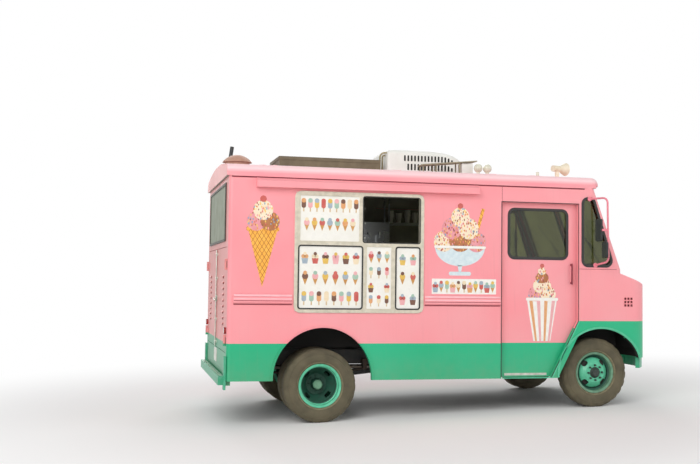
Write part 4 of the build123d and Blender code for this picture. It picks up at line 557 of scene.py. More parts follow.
def rounded(corners, radius, grow=0.0, steps=6):
    """Outline of a panel with rounded corners, moved outwards by grow."""
    turn = sum(a[0] * b[1] - b[0] * a[1] for a, b in zip(corners, corners[1:] + corners[:1]))
    corners = [Vector(c) for c in (corners if turn > 0 else corners[::-1])]
    line = []
    for i, corner in enumerate(corners):
        back = (corners[i - 1] - corner).normalized()
        on = (corners[(i + 1) % len(corners)] - corner).normalized()
        half = math.acos(max(-1, min(1, back.dot(on)))) / 2
        into = (back + on).normalized()
        corner = corner - into * grow / math.sin(half)
        r = max(radius + grow, 0.2)
        centre = corner + into * r / math.sin(half)
        first = corner + back * r / math.tan(half) - centre
        swing = math.pi - 2 * half
        for k in range(steps + 1):
            a = swing * k / steps
            line.append((centre.x + first.x * math.cos(a) - first.y * math.sin(a),
                         centre.y + first.x * math.sin(a) + first.y * math.cos(a)))
    return line


def nose_side(sign):
    """Places points on the side of the body that runs on round the nose's corner."""
    straight = flank(sign, HALF_W)

    def place(x, z, out):
        if x <= NOSE_TURN_X:
            return straight(x, z, out)
        lean = math.asin(min(1, (x - NOSE_TURN_X) / NOSE_R))
        r = NOSE_R + out
        return on_truck(NOSE_TURN_X + r * math.sin(lean), sign * (HALF_W - NOSE_R + r * math.cos(lean)), z)
    return place


def arc(x, z, r, low, high, steps):
    """Points on an arc between two angles in degrees."""
    turns = [math.radians(low + (high - low) * i / steps) for i in range(steps + 1)]
    return [(x + r * math.cos(a), z + r * math.sin(a)) for a in turns]


for name, sign in SIDES:
    trim = Drawing(nose_side(sign))
    # the front arch's beaded edge, the door's diagonal edge and the sill strip are pale green: painted
    # highlight
    for x, z, r, low, high, coat_no in ((17, 469, 528, -2, 182, 1), (3197, 480, 509, 22, 183, 0)):
        lip, bead, rim = (arc(x, z, r + step, low, high, 40) for step in (0, 13, 22))
        trim.band(lip, rim, BED, 4, coat_no)
        trim.band(bead, rim, 3.5, 9, coat_no)
    trim.slab([(2596, 450), (2610, 450), (2936, 1074), (2922, 1074)], BED, 4, 0, 1.5)
    trim.slab(box_of(2010, 2594, 447, 457), BED, 7, 0, 2)
    trim.make("edge_trim_" + name, [edge_highlight_enamel, body_enamel])
    crown = Drawing(nose_side(sign))
    seams = Drawing(nose_side(sign))
    # the serving window breaks the rail on the right
    for x0, x1 in ((-930, -325), (1120, 1984)) if sign < 0 else ((-930, 1984),):
        # the crown's two pale strips: painted highlight
        crown.slab(box_of(x0, x1, 1318, 1339), 13.8, 17, 0, 2.5)
        crown.slab(box_of(x0, x1, 1286, 1300), 13.8, 15.5, 0, 1.5)
        # the two dark lines under the rail's crown: painted shadow
        seams.slab(box_of(x0, x1, 1270, 1276), 13.8, 14.4)
        seams.slab(box_of(x0, x1, 1231, 1240), BED, 5, 0, 1)
    crown.make("rail_crown_" + name, [rail_highlight_enamel], smooth=True)
    # the dark line under the gutter: painted shadow
    seams.slab(box_of(-972, 2990, 2547, 2559), BED, 4, 0, 1)
    seams.slab(box_of(2001, 2005, 2386, 2547), BED, 0.7)
    seams.slab(box_of(2922, 3386, 1653, 1657), BED, 0.7)
    if sign > 0:
        seams.slab(box_of(-5, 1, 1345, 2547), BED, 0.7)
    seams.make("sealer_and_painted_shadow_" + name, [sealer_and_shadow])
    strip = Drawing(nose_side(sign))
    for outline in (
        box_of(1996, 2004, 462, 2386), box_of(2004, 2915, 2379, 2387), box_of(2915, 2922, 1074, 2387),
        [(2587, 450), (2596, 450), (2922, 1074), (2913, 1074)],
    ):
        strip.slab(outline, BED, 3, 0, 1)
    strip.make("door_weatherstrip_" + name, [black_rubber])
    vent = Drawing(nose_side(sign))
    for x in (3492, 3530, 3568):
        for z in (1252, 1290, 1328):
            cell = box_of(x - 13, x + 13, z - 13, z + 13)
            vent.frame(rounded(cell, 3, -0.5, 2), rounded(cell, 3, 4, 2), BED, 3, 0, 1)
            # a dark plate at the foot of each hollow: painted shade
            vent.slab(rounded(cell, 3, -0.8, 2), -12.2, -11, 1)
    vent.make("nose_vent_" + name, [body_enamel, sealer_and_shadow])

# Grille and radiator: pressed grille bars in satin enamel; behind them a brass core of fine fins
# between soldered tanks, painted black, on a steel cradle, with two rubber hoses.

# satin enamel over steel, pale grey with a slight metallic cast
grille_alloy = mottled("satin_grille_enamel", "#C9C4B6", "#AFA99B", 60, 3, 0.15, 0.4, {"Metallic": 0.4})
coat("grille", [grille_alloy])
FIN_PITCH = 18.0


def panel(x0, x1, z0, z1, radius, grow=0.0, steps=6):
    """Outline of an upright panel with rounded corners."""
    return rounded(box_of(x0, x1, z0, z1), radius, grow, steps)


# thin black paint over level fins, drawn wider apart than real ones so that they show
radiator_black, rad_tree, rad_shader, rad_place, _ = mottled_parts(
    "black_radiator_paint", "#202122", "#2C2B28", 40, 3, 0.2, 0.5)
fin_lines = node(rad_tree, "ShaderNodeTexWave", {
    "Vector": rad_place, "Scale": 1000 / FIN_PITCH / 10 * math.pi}, bands_direction="Z")
fins = node(rad_tree, "ShaderNodeBump", {"Height": fin_lines.outputs["Fac"], "Distance": 0.004})
rad_tree.links.new(fins.outputs[0], rad_shader.inputs["Normal"])
radiator = Drawing(lambda y, z, out: on_truck(3610 + out, y, z))
radiator.slab(box_of(-320, 320, 820, 1200), 0, 52)
for z0, z1 in ((770, 822), (1198, 1262)):
    radiator.cut_plate([panel(-330, 330, z0, z1, 18)], -10, 62, 8, 1)
for y in (-322, -110, 108, 312):
    radiator.slab(box_of(y, y + 10, 815, 1205), 50, 60, 1)
for y0, z0, y1, z1 in ((-200, 1215, -90, 1030), (200, 800, 120, 700)):
    hose = [on_truck(3606 - 66 * t, y0 + (y1 - y0) * t * t, z0 + (z1 - z0) * (3 - 2 * t) * t * t)
            for t in [k / 8 for k in range(9)]]
    radiator.tube(hose, 24, 2, 14)
radiator.make("radiator", [radiator_black, chassis_black, black_rubber], smooth=True)

# Rear fittings: a lock rod in pressed guides with its lever, the cover strip of the two doors, a
# bare number plate, and the ribbed tread of the step, all screwed on.
# rolled aluminium as it left the mill, silvery and lightly brushed
mill_alloy = mottled("mill_finish_aluminium", "#D5D6CC", "#B9BBB0", 50, 1.5, 0.08, 0.34, {"Metallic": 0.85})
ROD_Y = -62


def rear_face(y, z, out):
    """A point on the rear face of the body."""
    return on_truck(-995 - out, y, z)


rear_lock = Drawing(rear_face)
for z in (790, 1040, 1500, 1770):
    rear_lock.cut_plate([panel(ROD_Y - 22, ROD_Y + 22, z - 16, z + 16, 5, 0, 3)], -0.4, 4, 1)
    rear_lock.cut_plate([panel(ROD_Y - 13, ROD_Y + 13, z - 9, z + 9, 4, 0, 3)], 3.6, 25, 2)
    for y in (ROD_Y - 17, ROD_Y + 17):
        rear_lock.dome(y, z, 3.4, 3.8, 2)
rear_lock.tube([on_truck(-1009, ROD_Y, 742), on_truck(-1009, ROD_Y, 1818)], 8, 0, 12)
rear_lock.cut_plate([panel(-100, -34, 1240, 1310, 10)], -0.4, 6, 1.5)
LEVER = ((-1018, ROD_Y, 1275), (-1030, -66, 1272), (-1034, -120, 1262), (-1032, -180, 1250))
rear_lock.tube([on_truck(*point) for point in LEVER], 9, 0, 12)
# the doors' cover strip takes the rear's painted shade
rear_lock.slab(box_of(-16, 16, 742, 1818), BED, 3, 1, 1)
rear_lock.make("rear_lock", [mill_alloy, rear_shade_and_dirt_enamel], "rear_door_right", True)
PLATE = (-153, 153, 566, 718)
rear_plate = Drawing(rear_face)
rear_plate.cut_plate([panel(*PLATE, 12)], BED, 3, 0.8)
rear_plate.frame(panel(*PLATE, 12, -9), panel(*PLATE, 12, -3), 2.8, 4.2, 0, 0.8)
for y in (-120, 120):
    rear_plate.dome(y, 704, 5, 2.8, 2.6)
rear_plate.make("blank_number_plate", [mill_alloy], smooth=True)
tread = Drawing(lambda y, x, out: on_truck(x, y, 495 + out))
for i in range(50):
    y = -980 + i * 40
    lean = 6 if i % 2 else -6
    for x, tilt in ((-1049, lean), (-1027, -lean)):
        bar = [(y - 14, x - 3 - tilt), (y + 14, x - 3 + tilt), (y + 14, x + 3 + tilt), (y - 14, x + 3 - tilt)]
        tread.slab(bar, BED, 2.5)
tread.make("step_tread", [mill_alloy])

# Fuel filler: a moulded screw cap on a pressed flange in the left-hand skirt, above its tank,
# held by six screws.
FILLER = (1240, 640)
filler = Drawing(flank(1, HALF_W))
filler.cut_plate([disc(*FILLER, 62, 40)], BED, 4, 1.5, 1)
filler.frame(disc(*FILLER, 36, 40), disc(*FILLER, 46, 40), 3.5, 16, 0, 1)
filler.dome(*FILLER, 37, 3.5, 15, 0, 32)
filler.slab(panel(1207, 1273, 633, 647, 5), 10, 24, 0, 3)
for x, z in arc(*FILLER, 54, 30, 330, 5):
    filler.dome(x, z, 4, 3.8, 2.2)
filler.make("fuel_filler", [chassis_black, body_enamel], smooth=True)

# Serving window: a welded frame of mill-finish aluminium with rounded corners, screwed to the
# wall, with black rubber round the lower and side boards and round the open hatch, and a thin
# aluminium bead round the upper and narrow boards.
WINDOW = (-307, 1105, 1151, 2428)
PANES = (
    ("upper", -254, 390, 1899, 2384), ("opening", 430, 1059, 1899, 2384), ("lower", -265, 428, 1192, 1857),
    ("narrow", 467, 747, 1192, 1857), ("side", 790, 1063, 1192, 1857),
)
# brushed aluminium gone dull and yellowish outdoors
window_alloy = mottled("dull_window_aluminium", "#DAD2BF", "#C4BDAA", 60, 1.6, 0.1, 0.38, {"Metallic": 0.55})
# extruded plastic sheet, nearly white, with a soft gloss
white_board = mottled("white_gloss_sheet_plastic", "#F3F1EA", "#E9E6DC", 160, 3, 0.05, 0.28, {"IOR": 1.49})
coat("menu_boards", [white_board])
window = Drawing(flank(-1, HALF_W))
openings = [panel(*pane, 22 if name == "opening" else 14) for name, *pane in PANES]
window.cut_plate([panel(*WINDOW, 70, 0, 10)] + openings, BED, 12, 2.5)
for name, *pane in PANES:
    window.frame(panel(*pane, 14), panel(*pane, 14, 7), -40, -0.2)
window_frame = window.make("window_frame", [window_alloy], smooth=True)
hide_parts("serving_window")
seals = Drawing(flank(-1, HALF_W))
for name, *pane in PANES:
    if name == "opening":
        seals.frame(panel(*pane, 22, -3), panel(*pane, 22, 8), 11.8, 13.6, 0, 1.2)
    elif name in ("lower", "side"):
        seals.frame(panel(*pane, 30, -10), panel(*pane, 30, 5), 5.9, 14, 0, 2)
    else:
        seals.frame(panel(*pane, 14, -5), panel(*pane, 14, 1.5), 5.9, 13.2, 1, 1)
seals.make("window_seals", [black_rubber, window_alloy], smooth=True)
screws = Drawing(flank(-1, HALF_W))
upright = [(x, 1175 + i * 154.5) for x in (-293, 448, 1087) for i in range(9)]
for x, z in upright + [(-250 + i * 145, z) for i in range(10) for z in (1166, 1879, 2412)]:
    screws.dome(x, z, 5.5, 11.8, 3)
screws.make("window_screws", [mill_alloy])

# Pictures on the boards: cut vinyl film in plain flat colours, rubbed down by hand, with rows of
# small ices on sticks, cones and cups of this truck's own design.
FILM = 0.5
BOARD_OUT = 6.0


def film(name, light, dark):
    """Printed vinyl film, faded a little in patches, with a soft sheen."""
    return mottled(name, light, dark, 45, 1.2, 0.03, 0.35, {"IOR": 1.5})


PRINT_COLOURS = (
    ("chocolate_film", "#6E4B3C", "#7C5848"), ("cherry_film", "#C2564F", "#CB685E"),
    ("apricot_film", "#DB9A62", "#E0A876"), ("strawberry_film", "#E7A3A6", "#EAB3B3"),
    ("slate_film", "#9AA9B5", "#A8B5BE"), ("vanilla_film", "#EEDDBE", "#E8D3AE"),
    ("lemon_film", "#E3BF62", "#DDB352"), ("mint_film", "#9BBBA6", "#A9C4B1"),
    ("biscuit_film", "#CF9A57", "#BF8A47"), ("stick_film", "#D9BF98", "#CBB083"),
)
films = [film(*row) for row in PRINT_COLOURS]
ICES = 8  # how many of the films are flavours
BISCUIT, STICK = 8, 9


def lay(d, outline, level, colour, out=0.0):
    """One film over others: level 0 lies on the panel, which stands out from the drawing's face."""
    near = out + level * FILM if out or level else BED
    d.slab(outline, near, out + (level + 1) * FILM, colour)


def ice_lolly(d, x, z, size, colour, tip, out):
    """A two-coloured ice on a stick."""
    w = size * 0.17
    lay(d, box_of(x - w * 0.28, x + w * 0.28, z, z + size * 0.35), 0, STICK, out)
    lay(d, panel(x - w, x + w, z + size * 0.27, z + size, w * 0.9), 1, colour, out)
    lay(d, panel(x - w, x + w, z + size * 0.66, z + size, w * 0.9), 2, tip, out)


def ice_cone(d, x, z, size, colour, tip, out):
    """A plain cone with one scoop and a small ball on it."""
    w = size * 0.2
    lay(d, [(x, z), (x + w, z + size * 0.52), (x - w, z + size * 0.52)], 0, BISCUIT, out)
    lay(d, disc(x, z + size * 0.62, w * 1.1, 18), 1, colour, out)
    lay(d, disc(x, z + size * 0.85, w * 0.7, 14), 2, tip, out)


def ice_cup(d, x, z, size, colour, tip, out):
    """A paper cup with two scoops and a third on top."""
    w = size * 0.26
    rim = z + size * 0.42
    lay(d, [(x - w * 0.7, z), (x + w * 0.7, z), (x + w, rim), (x - w, rim)], 0, tip, out)
    for step in (-1, 1):
        lay(d, disc(x + step * w * 0.45, z + size * 0.55, w * 0.6, 16), 1, colour, out)
    lay(d, disc(x, z + size * 0.76, w * 0.5, 14), 2, (colour + 3) % ICES, out)


ROWS = (
    # first x, last x, foot z, size, how many, drawing, first colour
    (-215, 350, 2210, 140, 9, ice_lolly, 0), (-180, 315, 2010, 140, 7, ice_cone, 3),
    (-195, 355, 1665, 138, 6, ice_cup, 2), (-190, 350, 1442, 150, 6, ice_cone, 0),
    (-200, 362, 1232, 145, 8, ice_lolly, 4), (520, 695, 1680, 130, 3, ice_cone, 1),
    (520, 695, 1520, 120, 3, ice_lolly, 5), (520, 695, 1370, 115, 2, ice_cup, 6),
    (520, 695, 1222, 120, 3, ice_lolly, 2), (868, 985, 1664, 132, 2, ice_cup, 4),
    (868, 985, 1455, 140, 2, ice_cone, 6), (868, 985, 1240, 132, 2, ice_cup, 1),
)
prints = Drawing(flank(-1, HALF_W))
for x0, x1, z, size, count, drawn, first in ROWS:
    for i in range(count):
        x = x0 + (x1 - x0) * i / (count - 1)
        drawn(prints, x, z, size, (first + i * 3) % ICES, (first + i * 5 + 2) % ICES, BOARD_OUT)
prints.make("board_pictures", films)

# Large pictures on the side and the door: cut vinyl film, laid piece over piece, with a wafer
# cone of three balls, a glass of ices and a striped paper cup.
RIB_PITCH = 46.0
STRAND_PITCH = 17.0
SUGARS = ("#D9776B", "#E59A4C", "#8A5240", "#F0C766", "#E9A0A5", "#7FA3B8", "#B5533F")
DOOR_OUT = 1067.0  # the outer face of a cab door, from the middle
# film printed with a wafer's crossed ribs, brown lines on golden yellow
wafer_film, wafer_tree, wafer_shader, wafer_place, wafer_colour = mottled_parts(
    "wafer_printed_film", "#FABB52", "#F1AA40", 60, 1.2, 0.03, 0.35, {"IOR": 1.5})
lines = []
for lean in (0.62, -0.62):
    across_ribs = (1000 / RIB_PITCH, 0, lean * 1000 / RIB_PITCH)
    way = node(wafer_tree, "ShaderNodeVectorMath", {0: wafer_place, 1: across_ribs}, operation="DOT_PRODUCT")
    part = node(wafer_tree, "ShaderNodeMath", {0: way.outputs["Value"]}, operation="FRACT")
    lines.append(node(wafer_tree, "ShaderNodeMath", {0: part.outputs[0], 1: 0.16}, operation="LESS_THAN"))
ribs = node(wafer_tree, "ShaderNodeMath", {0: lines[0].outputs[0], 1: lines[1].outputs[0]},
            operation="MAXIMUM")
ribbed = node(wafer_tree, "ShaderNodeMix", {
    0: ribs.outputs[0], 6: wafer_colour.outputs[2], 7: linear("#B9702A")}, data_type="RGBA")
wafer_tree.links.new(ribbed.outputs[2], wafer_shader.inputs["Base Color"])


def strewn(name, light, dark, share):
    """Film printed with ice and sugar strands: small stretched dots of mixed colours."""
    mat, tree, shader, place, colour = mottled_parts(name, light, dark, 60, 1.2, 0.03, 0.35, {"IOR": 1.5})
    pulled = node(tree, "ShaderNodeMapping", {0: place, 2: (0.0, 0.6, 0.0), 3: (1.0, 1.0, 0.55)})
    cells = node(tree, "ShaderNodeTexVoronoi", {"Vector": pulled.outputs[0], "Scale": 1000 / STRAND_PITCH})
    dots = node(tree, "ShaderNodeMath", {0: cells.outputs["Distance"], 1: share}, operation="LESS_THAN")
    chance = node(tree, "ShaderNodeSeparateColor", {0: cells.outputs["Color"]})
    ramp = node(tree, "ShaderNodeValToRGB", {0: chance.outputs[0]})
    ramp.color_ramp.interpolation = "CONSTANT"
    stops = ramp.color_ramp.elements
    for i, sugar in enumerate(SUGARS):
        stop = stops[i] if i < 2 else stops.new(i / len(SUGARS))
        stop.position = i / len(SUGARS)
        stop.color = linear(sugar)
    both = node(tree, "ShaderNodeMix", {0: dots.outputs[0], 6: colour.outputs[2], 7: ramp.outputs[0]},
                data_type="RGBA")
    tree.links.new(both.outputs[2], shader.inputs["Base Color"])
    return mat


big_films = [
    wafer_film, strewn("strewn_vanilla_film", "#F6E6CC", "#F1DCBD", 0.42),
    strewn("strewn_berry_film", "#E9A3A6", "#E08E95", 0.4),
    strewn("strewn_toffee_film", "#B97A4E", "#A96A40", 0.4), film("white_film", "#F5F2EC", "#ECE8E0"),
    film("glass_blue_film", "#DCE8EA", "#C9DADF"), films[1], films[2], films[3],
]
WAFER, VANILLA, BERRY, TOFFEE, WHITE, GLASS, CHERRY, ORANGE, PINK = range(9)


def scoops(d, sides, rows):
    """Balls of ice and a cherry, each film laid over the ones before it."""
    for level, (x, z, r, tall, colour) in enumerate(rows, 2):
        lay(d, disc(x, z, r, sides, tall), level, colour)


big = Drawing(flank(-1, HALF_W))
lay(big, [(-640, 1415), (-487, 2010), (-793, 2010)], 0, WAFER)
lay(big, panel(-812, -468, 1992, 2040, 20), 1, WAFER)
scoops(big, 36, (
    (-712, 2096, 100, 1, BERRY), (-566, 2098, 100, 1, TOFFEE), (-640, 2212, 104, 1, VANILLA),
    (-640, 2330, 34, 1, CHERRY),
))
BOWL_Z = 1868
belly = [(x, BOWL_Z + (z - BOWL_Z) * 0.72) for x, z in arc(1518, BOWL_Z, 284, 0, -180, 24)[1:-1]]
lay(big, [(1230, 1870), (1806, 1870)] + belly, 0, GLASS)
lay(big, [(1492, 1672), (1544, 1672), (1532, 1600), (1504, 1600)], 0, GLASS)
lay(big, panel(1392, 1644, 1562, 1604, 18), 0, GLASS)
lay(big, [(1672, 1960), (1704, 1948), (1800, 2290), (1766, 2300)], 1, WAFER)
scoops(big, 36, (
    (1330, 1930, 112, 1, VANILLA), (1706, 1930, 112, 1, BERRY), (1518, 1950, 130, 1, TOFFEE),
    (1424, 2070, 116, 1, BERRY), (1614, 2072, 116, 1, VANILLA), (1518, 2196, 106, 1, VANILLA),
    (1518, 2318, 30, 1, CHERRY),
))
lay(big, panel(1222, 1814, 1856, 1884, 13), 9, WHITE)
lay(big, panel(1200, 1936, 1361, 1526, 6), 0, WHITE)
big.make("side_pictures", big_films)
little = Drawing(flank(-1, HALF_W))
for i in range(11):
    drawn = (ice_cup, ice_cone, ice_lolly)[i % 3]
    drawn(little, 1240 + i * 65.5, 1378, 128, (i * 3 + 1) % ICES, (i * 5 + 4) % ICES, FILM)
little.make("strip_pictures", films)
cup = Drawing(flank(-1, DOOR_OUT))
lay(cup, [(2404, 850), (2604, 850), (2684, 1310), (2324, 1310)], 0, WHITE)
for i in range(4):
    low, high = 2424 + i * 50, 2352 + i * 90
    lay(cup, [(low, 850), (low + 22, 850), (high + 40, 1296), (high, 1296)], 1, PINK if i % 2 else ORANGE)
scoops(cup, 32, (
    (2430, 1372, 92, 0.9, BERRY), (2578, 1372, 92, 0.9, VANILLA), (2504, 1462, 108, 0.8, VANILLA),
    (2504, 1552, 78, 0.8, TOFFEE), (2504, 1626, 48, 0.9, VANILLA), (2504, 1684, 24, 1.0, CHERRY),
))
lay(cup, panel(2312, 2696, 1296, 1330, 15), 8, WHITE)
cup.make("door_picture", big_films, "cab_door_right")

# Glass: toughened panes set in thick black rubber, in the sliding doors, the quarter lights
# and the two halves of the windscreen. Two pressed arms wipe the screen.
DOOR_PANE = (2112, 2801, 1770, 2304)
QUARTER = [(2971, 1694), (3340, 1694), (3098, 2447), (2971, 2447)]
SCREEN_UP, SCREEN_BACK = 910.0, 333.0
SCREEN_LENGTH = math.hypot(SCREEN_UP, SCREEN_BACK)
# clear glass with an olive tint that darkens what shows through it: painted shade; its shine is
# dulled in patches by dust
shade_tinted_glazing, glazing_tree, glazing_shader = shaded("toughened_glass_painted_shade_tint", {
    "Base Color": linear("#8E9170"), "Transmission Weight": 1.0, "IOR": 1.52, "Specular IOR Level": 0.5})
glazing_place = node(glazing_tree, "ShaderNodeTexCoord").outputs["Object"]
film_of_dust = node(glazing_tree, "ShaderNodeTexNoise", {
    "Vector": glazing_place, "Scale": 1000 / 150, "Detail": 6.0})
smear = node(glazing_tree, "ShaderNodeMapRange", {
    0: film_of_dust.outputs[0], 1: 0.4, 2: 0.8, 3: 0.0, 4: 0.09})
glazing_tree.links.new(smear.outputs[0], glazing_shader.inputs["Roughness"])
coat("cab_glass door_glass_right door_glass_left", [shade_tinted_glazing])
for name, sign in SIDES:
    door_seal = Drawing(flank(sign, DOOR_OUT))
    door_seal.frame(panel(*DOOR_PANE, 60, -12), panel(*DOOR_PANE, 60, 20), -0.5, 3, 0, 2)
    door_seal.make("door_seal_" + name, [black_rubber], "cab_door_" + name, True)
    quarter_seal = Drawing(nose_side(sign))
    quarter_seal.frame(rounded(QUARTER, 60, -12), rounded(QUARTER, 60, 18), -0.5, 5, 0, 3)
    quarter_seal.make("quarter_seal_" + name, [black_rubber], "truck", True)


def screen_face(y, z, out):
    """A point on the leaning windscreen frame."""
    x = 3458 - (z - 1655) * SCREEN_BACK / SCREEN_UP + out * SCREEN_UP / SCREEN_LENGTH
    return on_truck(x, y, z + out * SCREEN_BACK / SCREEN_LENGTH)


screen_seal = Drawing(screen_face)
for y0, y1 in ((28, 990), (-990, -28)):
    pane = box_of(y0, y1, 1725, 2485)
    screen_seal.frame(rounded(pane, 70, -10), rounded(pane, 70, 16), -0.5, 5, 0, 3)
screen_seal.make("windscreen_seals", [black_rubber], smooth=True)
wipers = Drawing(screen_face)
for y in (-640, 330):
    wipers.dome(y, 1692, 20, -0.5, 22, 0, 16)
    wipers.slab([(y - 7, 1690), (y + 7, 1690), (y + 214, 2058), (y + 206, 2062)], 14, 20, 0, 2)
    wipers.slab([(y + 18, 1880), (y + 28, 1874), (y + 392, 2236), (y + 386, 2242)], 10, 16, 0, 2)
    wipers.slab([(y + 16, 1884), (y + 22, 1878), (y + 388, 2240), (y + 384, 2246)], 5, 11, 1)
wipers.make("wipers", [chassis_black, black_rubber])

# Sliding cab doors: flush aluminium doors in the body's enamel with dark red pull handles
# bolted on. A bright kick strip covers the sill edge.


def door_faces(sign):
    """Picks the handle, the lined back or the enamelled outside of a cab door."""
    def pick(c, n):
        if sign * c.y > 1.0695:
            return 1
        return 2 if sign * n.y < -0.5 and sign * c.y < 1.05 else 0
    return pick


# stoved enamel, deep red and glossy
handle_red = mottled("dark_red_stove_enamel", "#8E2436", "#7A1F2E", 40, 2, 0.1, 0.35, {"Coat Weight": 0.3})
for name, sign in SIDES:
    coat("cab_door_" + name, [body_enamel, handle_red, liner], door_faces(sign))
    kick = Drawing(flank(sign, DOOR_OUT))
    kick.slab(box_of(2060, 2560, 474, 500), BED, 3, 0, 1.5)
    for i in range(8):
        kick.dome(2080 + i * 66, 487, 4.5, 2.8, 2.4)
    kick.make("kick_strip_" + name, [mill_alloy], "cab_door_" + name)

# Inside: a folded stainless counter and a soft-ice machine with brushed stainless panels, a
# grey moulded dash with the engine cover, and a black moulded steering wheel.

# stainless sheet with brush marks that draw the shine out into a band
brushed = mottled("brushed_stainless", "#C6C8C8", "#B2B5B6", 200, 1, 0.05, 0.28,
                  {"Metallic": 1.0, "Anisotropic": 0.5})
# moulded with a leather-like grain, matt mid grey
cab_grey = mottled("grey_textured_plastic", "#8B8C88", "#7C7D79", 120, 1.2, 0.25, 0.6, {"IOR": 1.46})
# near black with a soft gloss, worn smooth by hands
wheel_plastic = mottled("black_moulded_plastic", "#1C1C1D", "#262627", 60, 1.2, 0.15, 0.45, {"IOR": 1.46})
coat("counter soft_serve_machine", [brushed])
coat("dashboard", [cab_grey])
coat("steering_wheel", [wheel_plastic])

# Shelf: a folded stainless plate hung from the roof bows by four straps, clear of the sliding
# door, with stacks of white paper cups.
STACKS = ((1300, 900, 6), (1410, 915, 4), (1520, 895, 7), (1630, 915, 5), (1730, 900, 3))
CUP_SECTION = ((27, 0), (38, 82), (40, 82), (40, 85), (37, 85), (26, 3))
shelf = Drawing(on_truck)
shelf.slab(box_of(1230, 1790, 790, 1005), 2236, 2239)
for y in (790, 1002):
    shelf.slab(box_of(1230, 1790, y, y + 3), 2212, 2237)
for x in (1236, 1764):
    for y, top in ((787, 2679), (1005, 2653)):
        shelf.slab(box_of(x, x + 20, y, y + 3), 2214, top)
shelf.make("cup_shelf", [brushed])
cups = Drawing(on_truck)
for x, y, count in STACKS:
    for k in range(count):
        cups.solid([cups.loop(disc(x, y, r, 16), 2240 + k * 14 + rise) for r, rise in CUP_SECTION])
cups.make("paper_cups", [white_board], smooth=True)

# Driver's seat: a foam cushion and back sewn into black vinyl, on a turned steel pedestal that
# is bolted to the floor.
SWELL_CAP = 0.012
SWELL_FRAMES = 20
# grained vinyl, black with a dull shine on the swell
vinyl = mottled("black_grained_vinyl", "#2A2A2B", "#363534", 50, 2, 0.5, 0.5,
                {"IOR": 1.5, "Sheen Weight": 0.1})


def upholstered(name, centre, half, lean):
    """A padded block that swells between its corners, by a short cloth run."""
    shape = bmesh.new()
    bmesh.ops.create_cube(shape, size=2.0)
    bmesh.ops.subdivide_edges(shape, edges=shape.edges, cuts=5, use_grid_fill=True)
    for v in shape.verts:
        flat = Vector([max(-1, min(1, along)) for along in v.co])
        soft = flat.normalized() * max(abs(flat.x), abs(flat.y), abs(flat.z)) * 1.18
        p = flat.lerp(soft, 0.28)
        v.co = Vector((p.x * half[0], p.y * half[1], p.z * half[2]))
    mesh = bpy.data.meshes.new(name)
    shape.to_mesh(mesh)
    shape.free()
    pad = bpy.data.objects.new(name, mesh)
    bpy.context.scene.collection.objects.link(pad)
    bpy.context.view_layer.objects.active = pad
    remesh = pad.modifiers.new("even", "REMESH")
    remesh.mode = "VOXEL"
    remesh.voxel_size = 0.009
    bpy.ops.object.modifier_apply(modifier="even")
    rest = [v.co.copy() for v in pad.data.vertices]
    cloth = pad.modifiers.new("swell", "CLOTH")
    cloth.settings.use_pressure = True
    cloth.settings.uniform_pressure_force = 4.0
    cloth.settings.effector_weights.gravity = 0.0
    for step in range(1, SWELL_FRAMES + 1):
        bpy.context.scene.frame_set(step)
    swollen = pad.evaluated_get(bpy.context.evaluated_depsgraph_get()).to_mesh()
    moved = [v.co.copy() for v in swollen.vertices]
    pad.modifiers.remove(cloth)
    bpy.context.scene.frame_set(1)
    for v, a, b in zip(pad.data.vertices, rest, moved):
        way = b - a
        v.co = a + way * min(1.0, SWELL_CAP / max(way.length, 1e-9))
    smooth = pad.modifiers.new("smooth", "SUBSURF")
    smooth.levels = smooth.render_levels = 1
    turn = Matrix.Rotation(lean + RAKE, 4, "Y")
    pad.data.transform(Matrix.Translation(on_truck(*centre)) @ turn)
    pad.data.shade_smooth()
    pad.data.materials.append(vinyl)
    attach(pad, "truck")
    return pad


seat_cushion = upholstered("seat_cushion", (2120, 520, 1212), (0.205, 0.212, 0.047), 0.0)
seat_back = upholstered("seat_back", (1922, 520, 1520), (0.037, 0.203, 0.245), math.radians(-7.5))
pedestal = Drawing(on_truck)
PEDESTAL = ((130, 800.4), (130, 812), (60, 818), (45, 830), (45, 1120), (150, 1140), (180, 1150), (180, 1158))
pedestal.solid([pedestal.loop(disc(2120, 520, r, 32), z) for r, z in PEDESTAL])
seat_post = pedestal.make("seat_post", [chassis_black], smooth=True)
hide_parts("driver_seat")
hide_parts("driver_seat")
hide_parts("driver_seat")

# Mirrors: bent steel tube in the body's pink, bolted to the pillars, with black pressed heads
# and a silvered glass.
MIRROR_HEADS = ((1215, 2090, 66, 126), (1280, 1870, 56, 91))  # middle y and z, half width and height
# enamel over tube, a stronger pink than the faded panels
mirror_pink = mottled("pink_tube_enamel", "#F08A98", "#E67F8E", 40, 2, 0.1, 0.35)
# silver behind glass, a clean sharp reflection
silvered = mottled("silvered_glass", "#E8ECEE", "#DDE3E6", 200, 30, 0.005, 0.03, {"Metallic": 1.0})


def mirror_faces(c, n):
    """Tube, head or glass of the mirrors, by where a face lies and looks."""
    x, y, z = on_body(c)
    for mid_y, mid_z, half_y, half_z in MIRROR_HEADS:
        if abs(abs(y) - mid_y) < half_y and abs(z - mid_z) < half_z:
            return 2 if n.x < -0.9 and abs(abs(y) - mid_y) < half_y - 4 else 1
    return 0


coat("mirrors", [mirror_pink, wheel_plastic, silvered], mirror_faces)

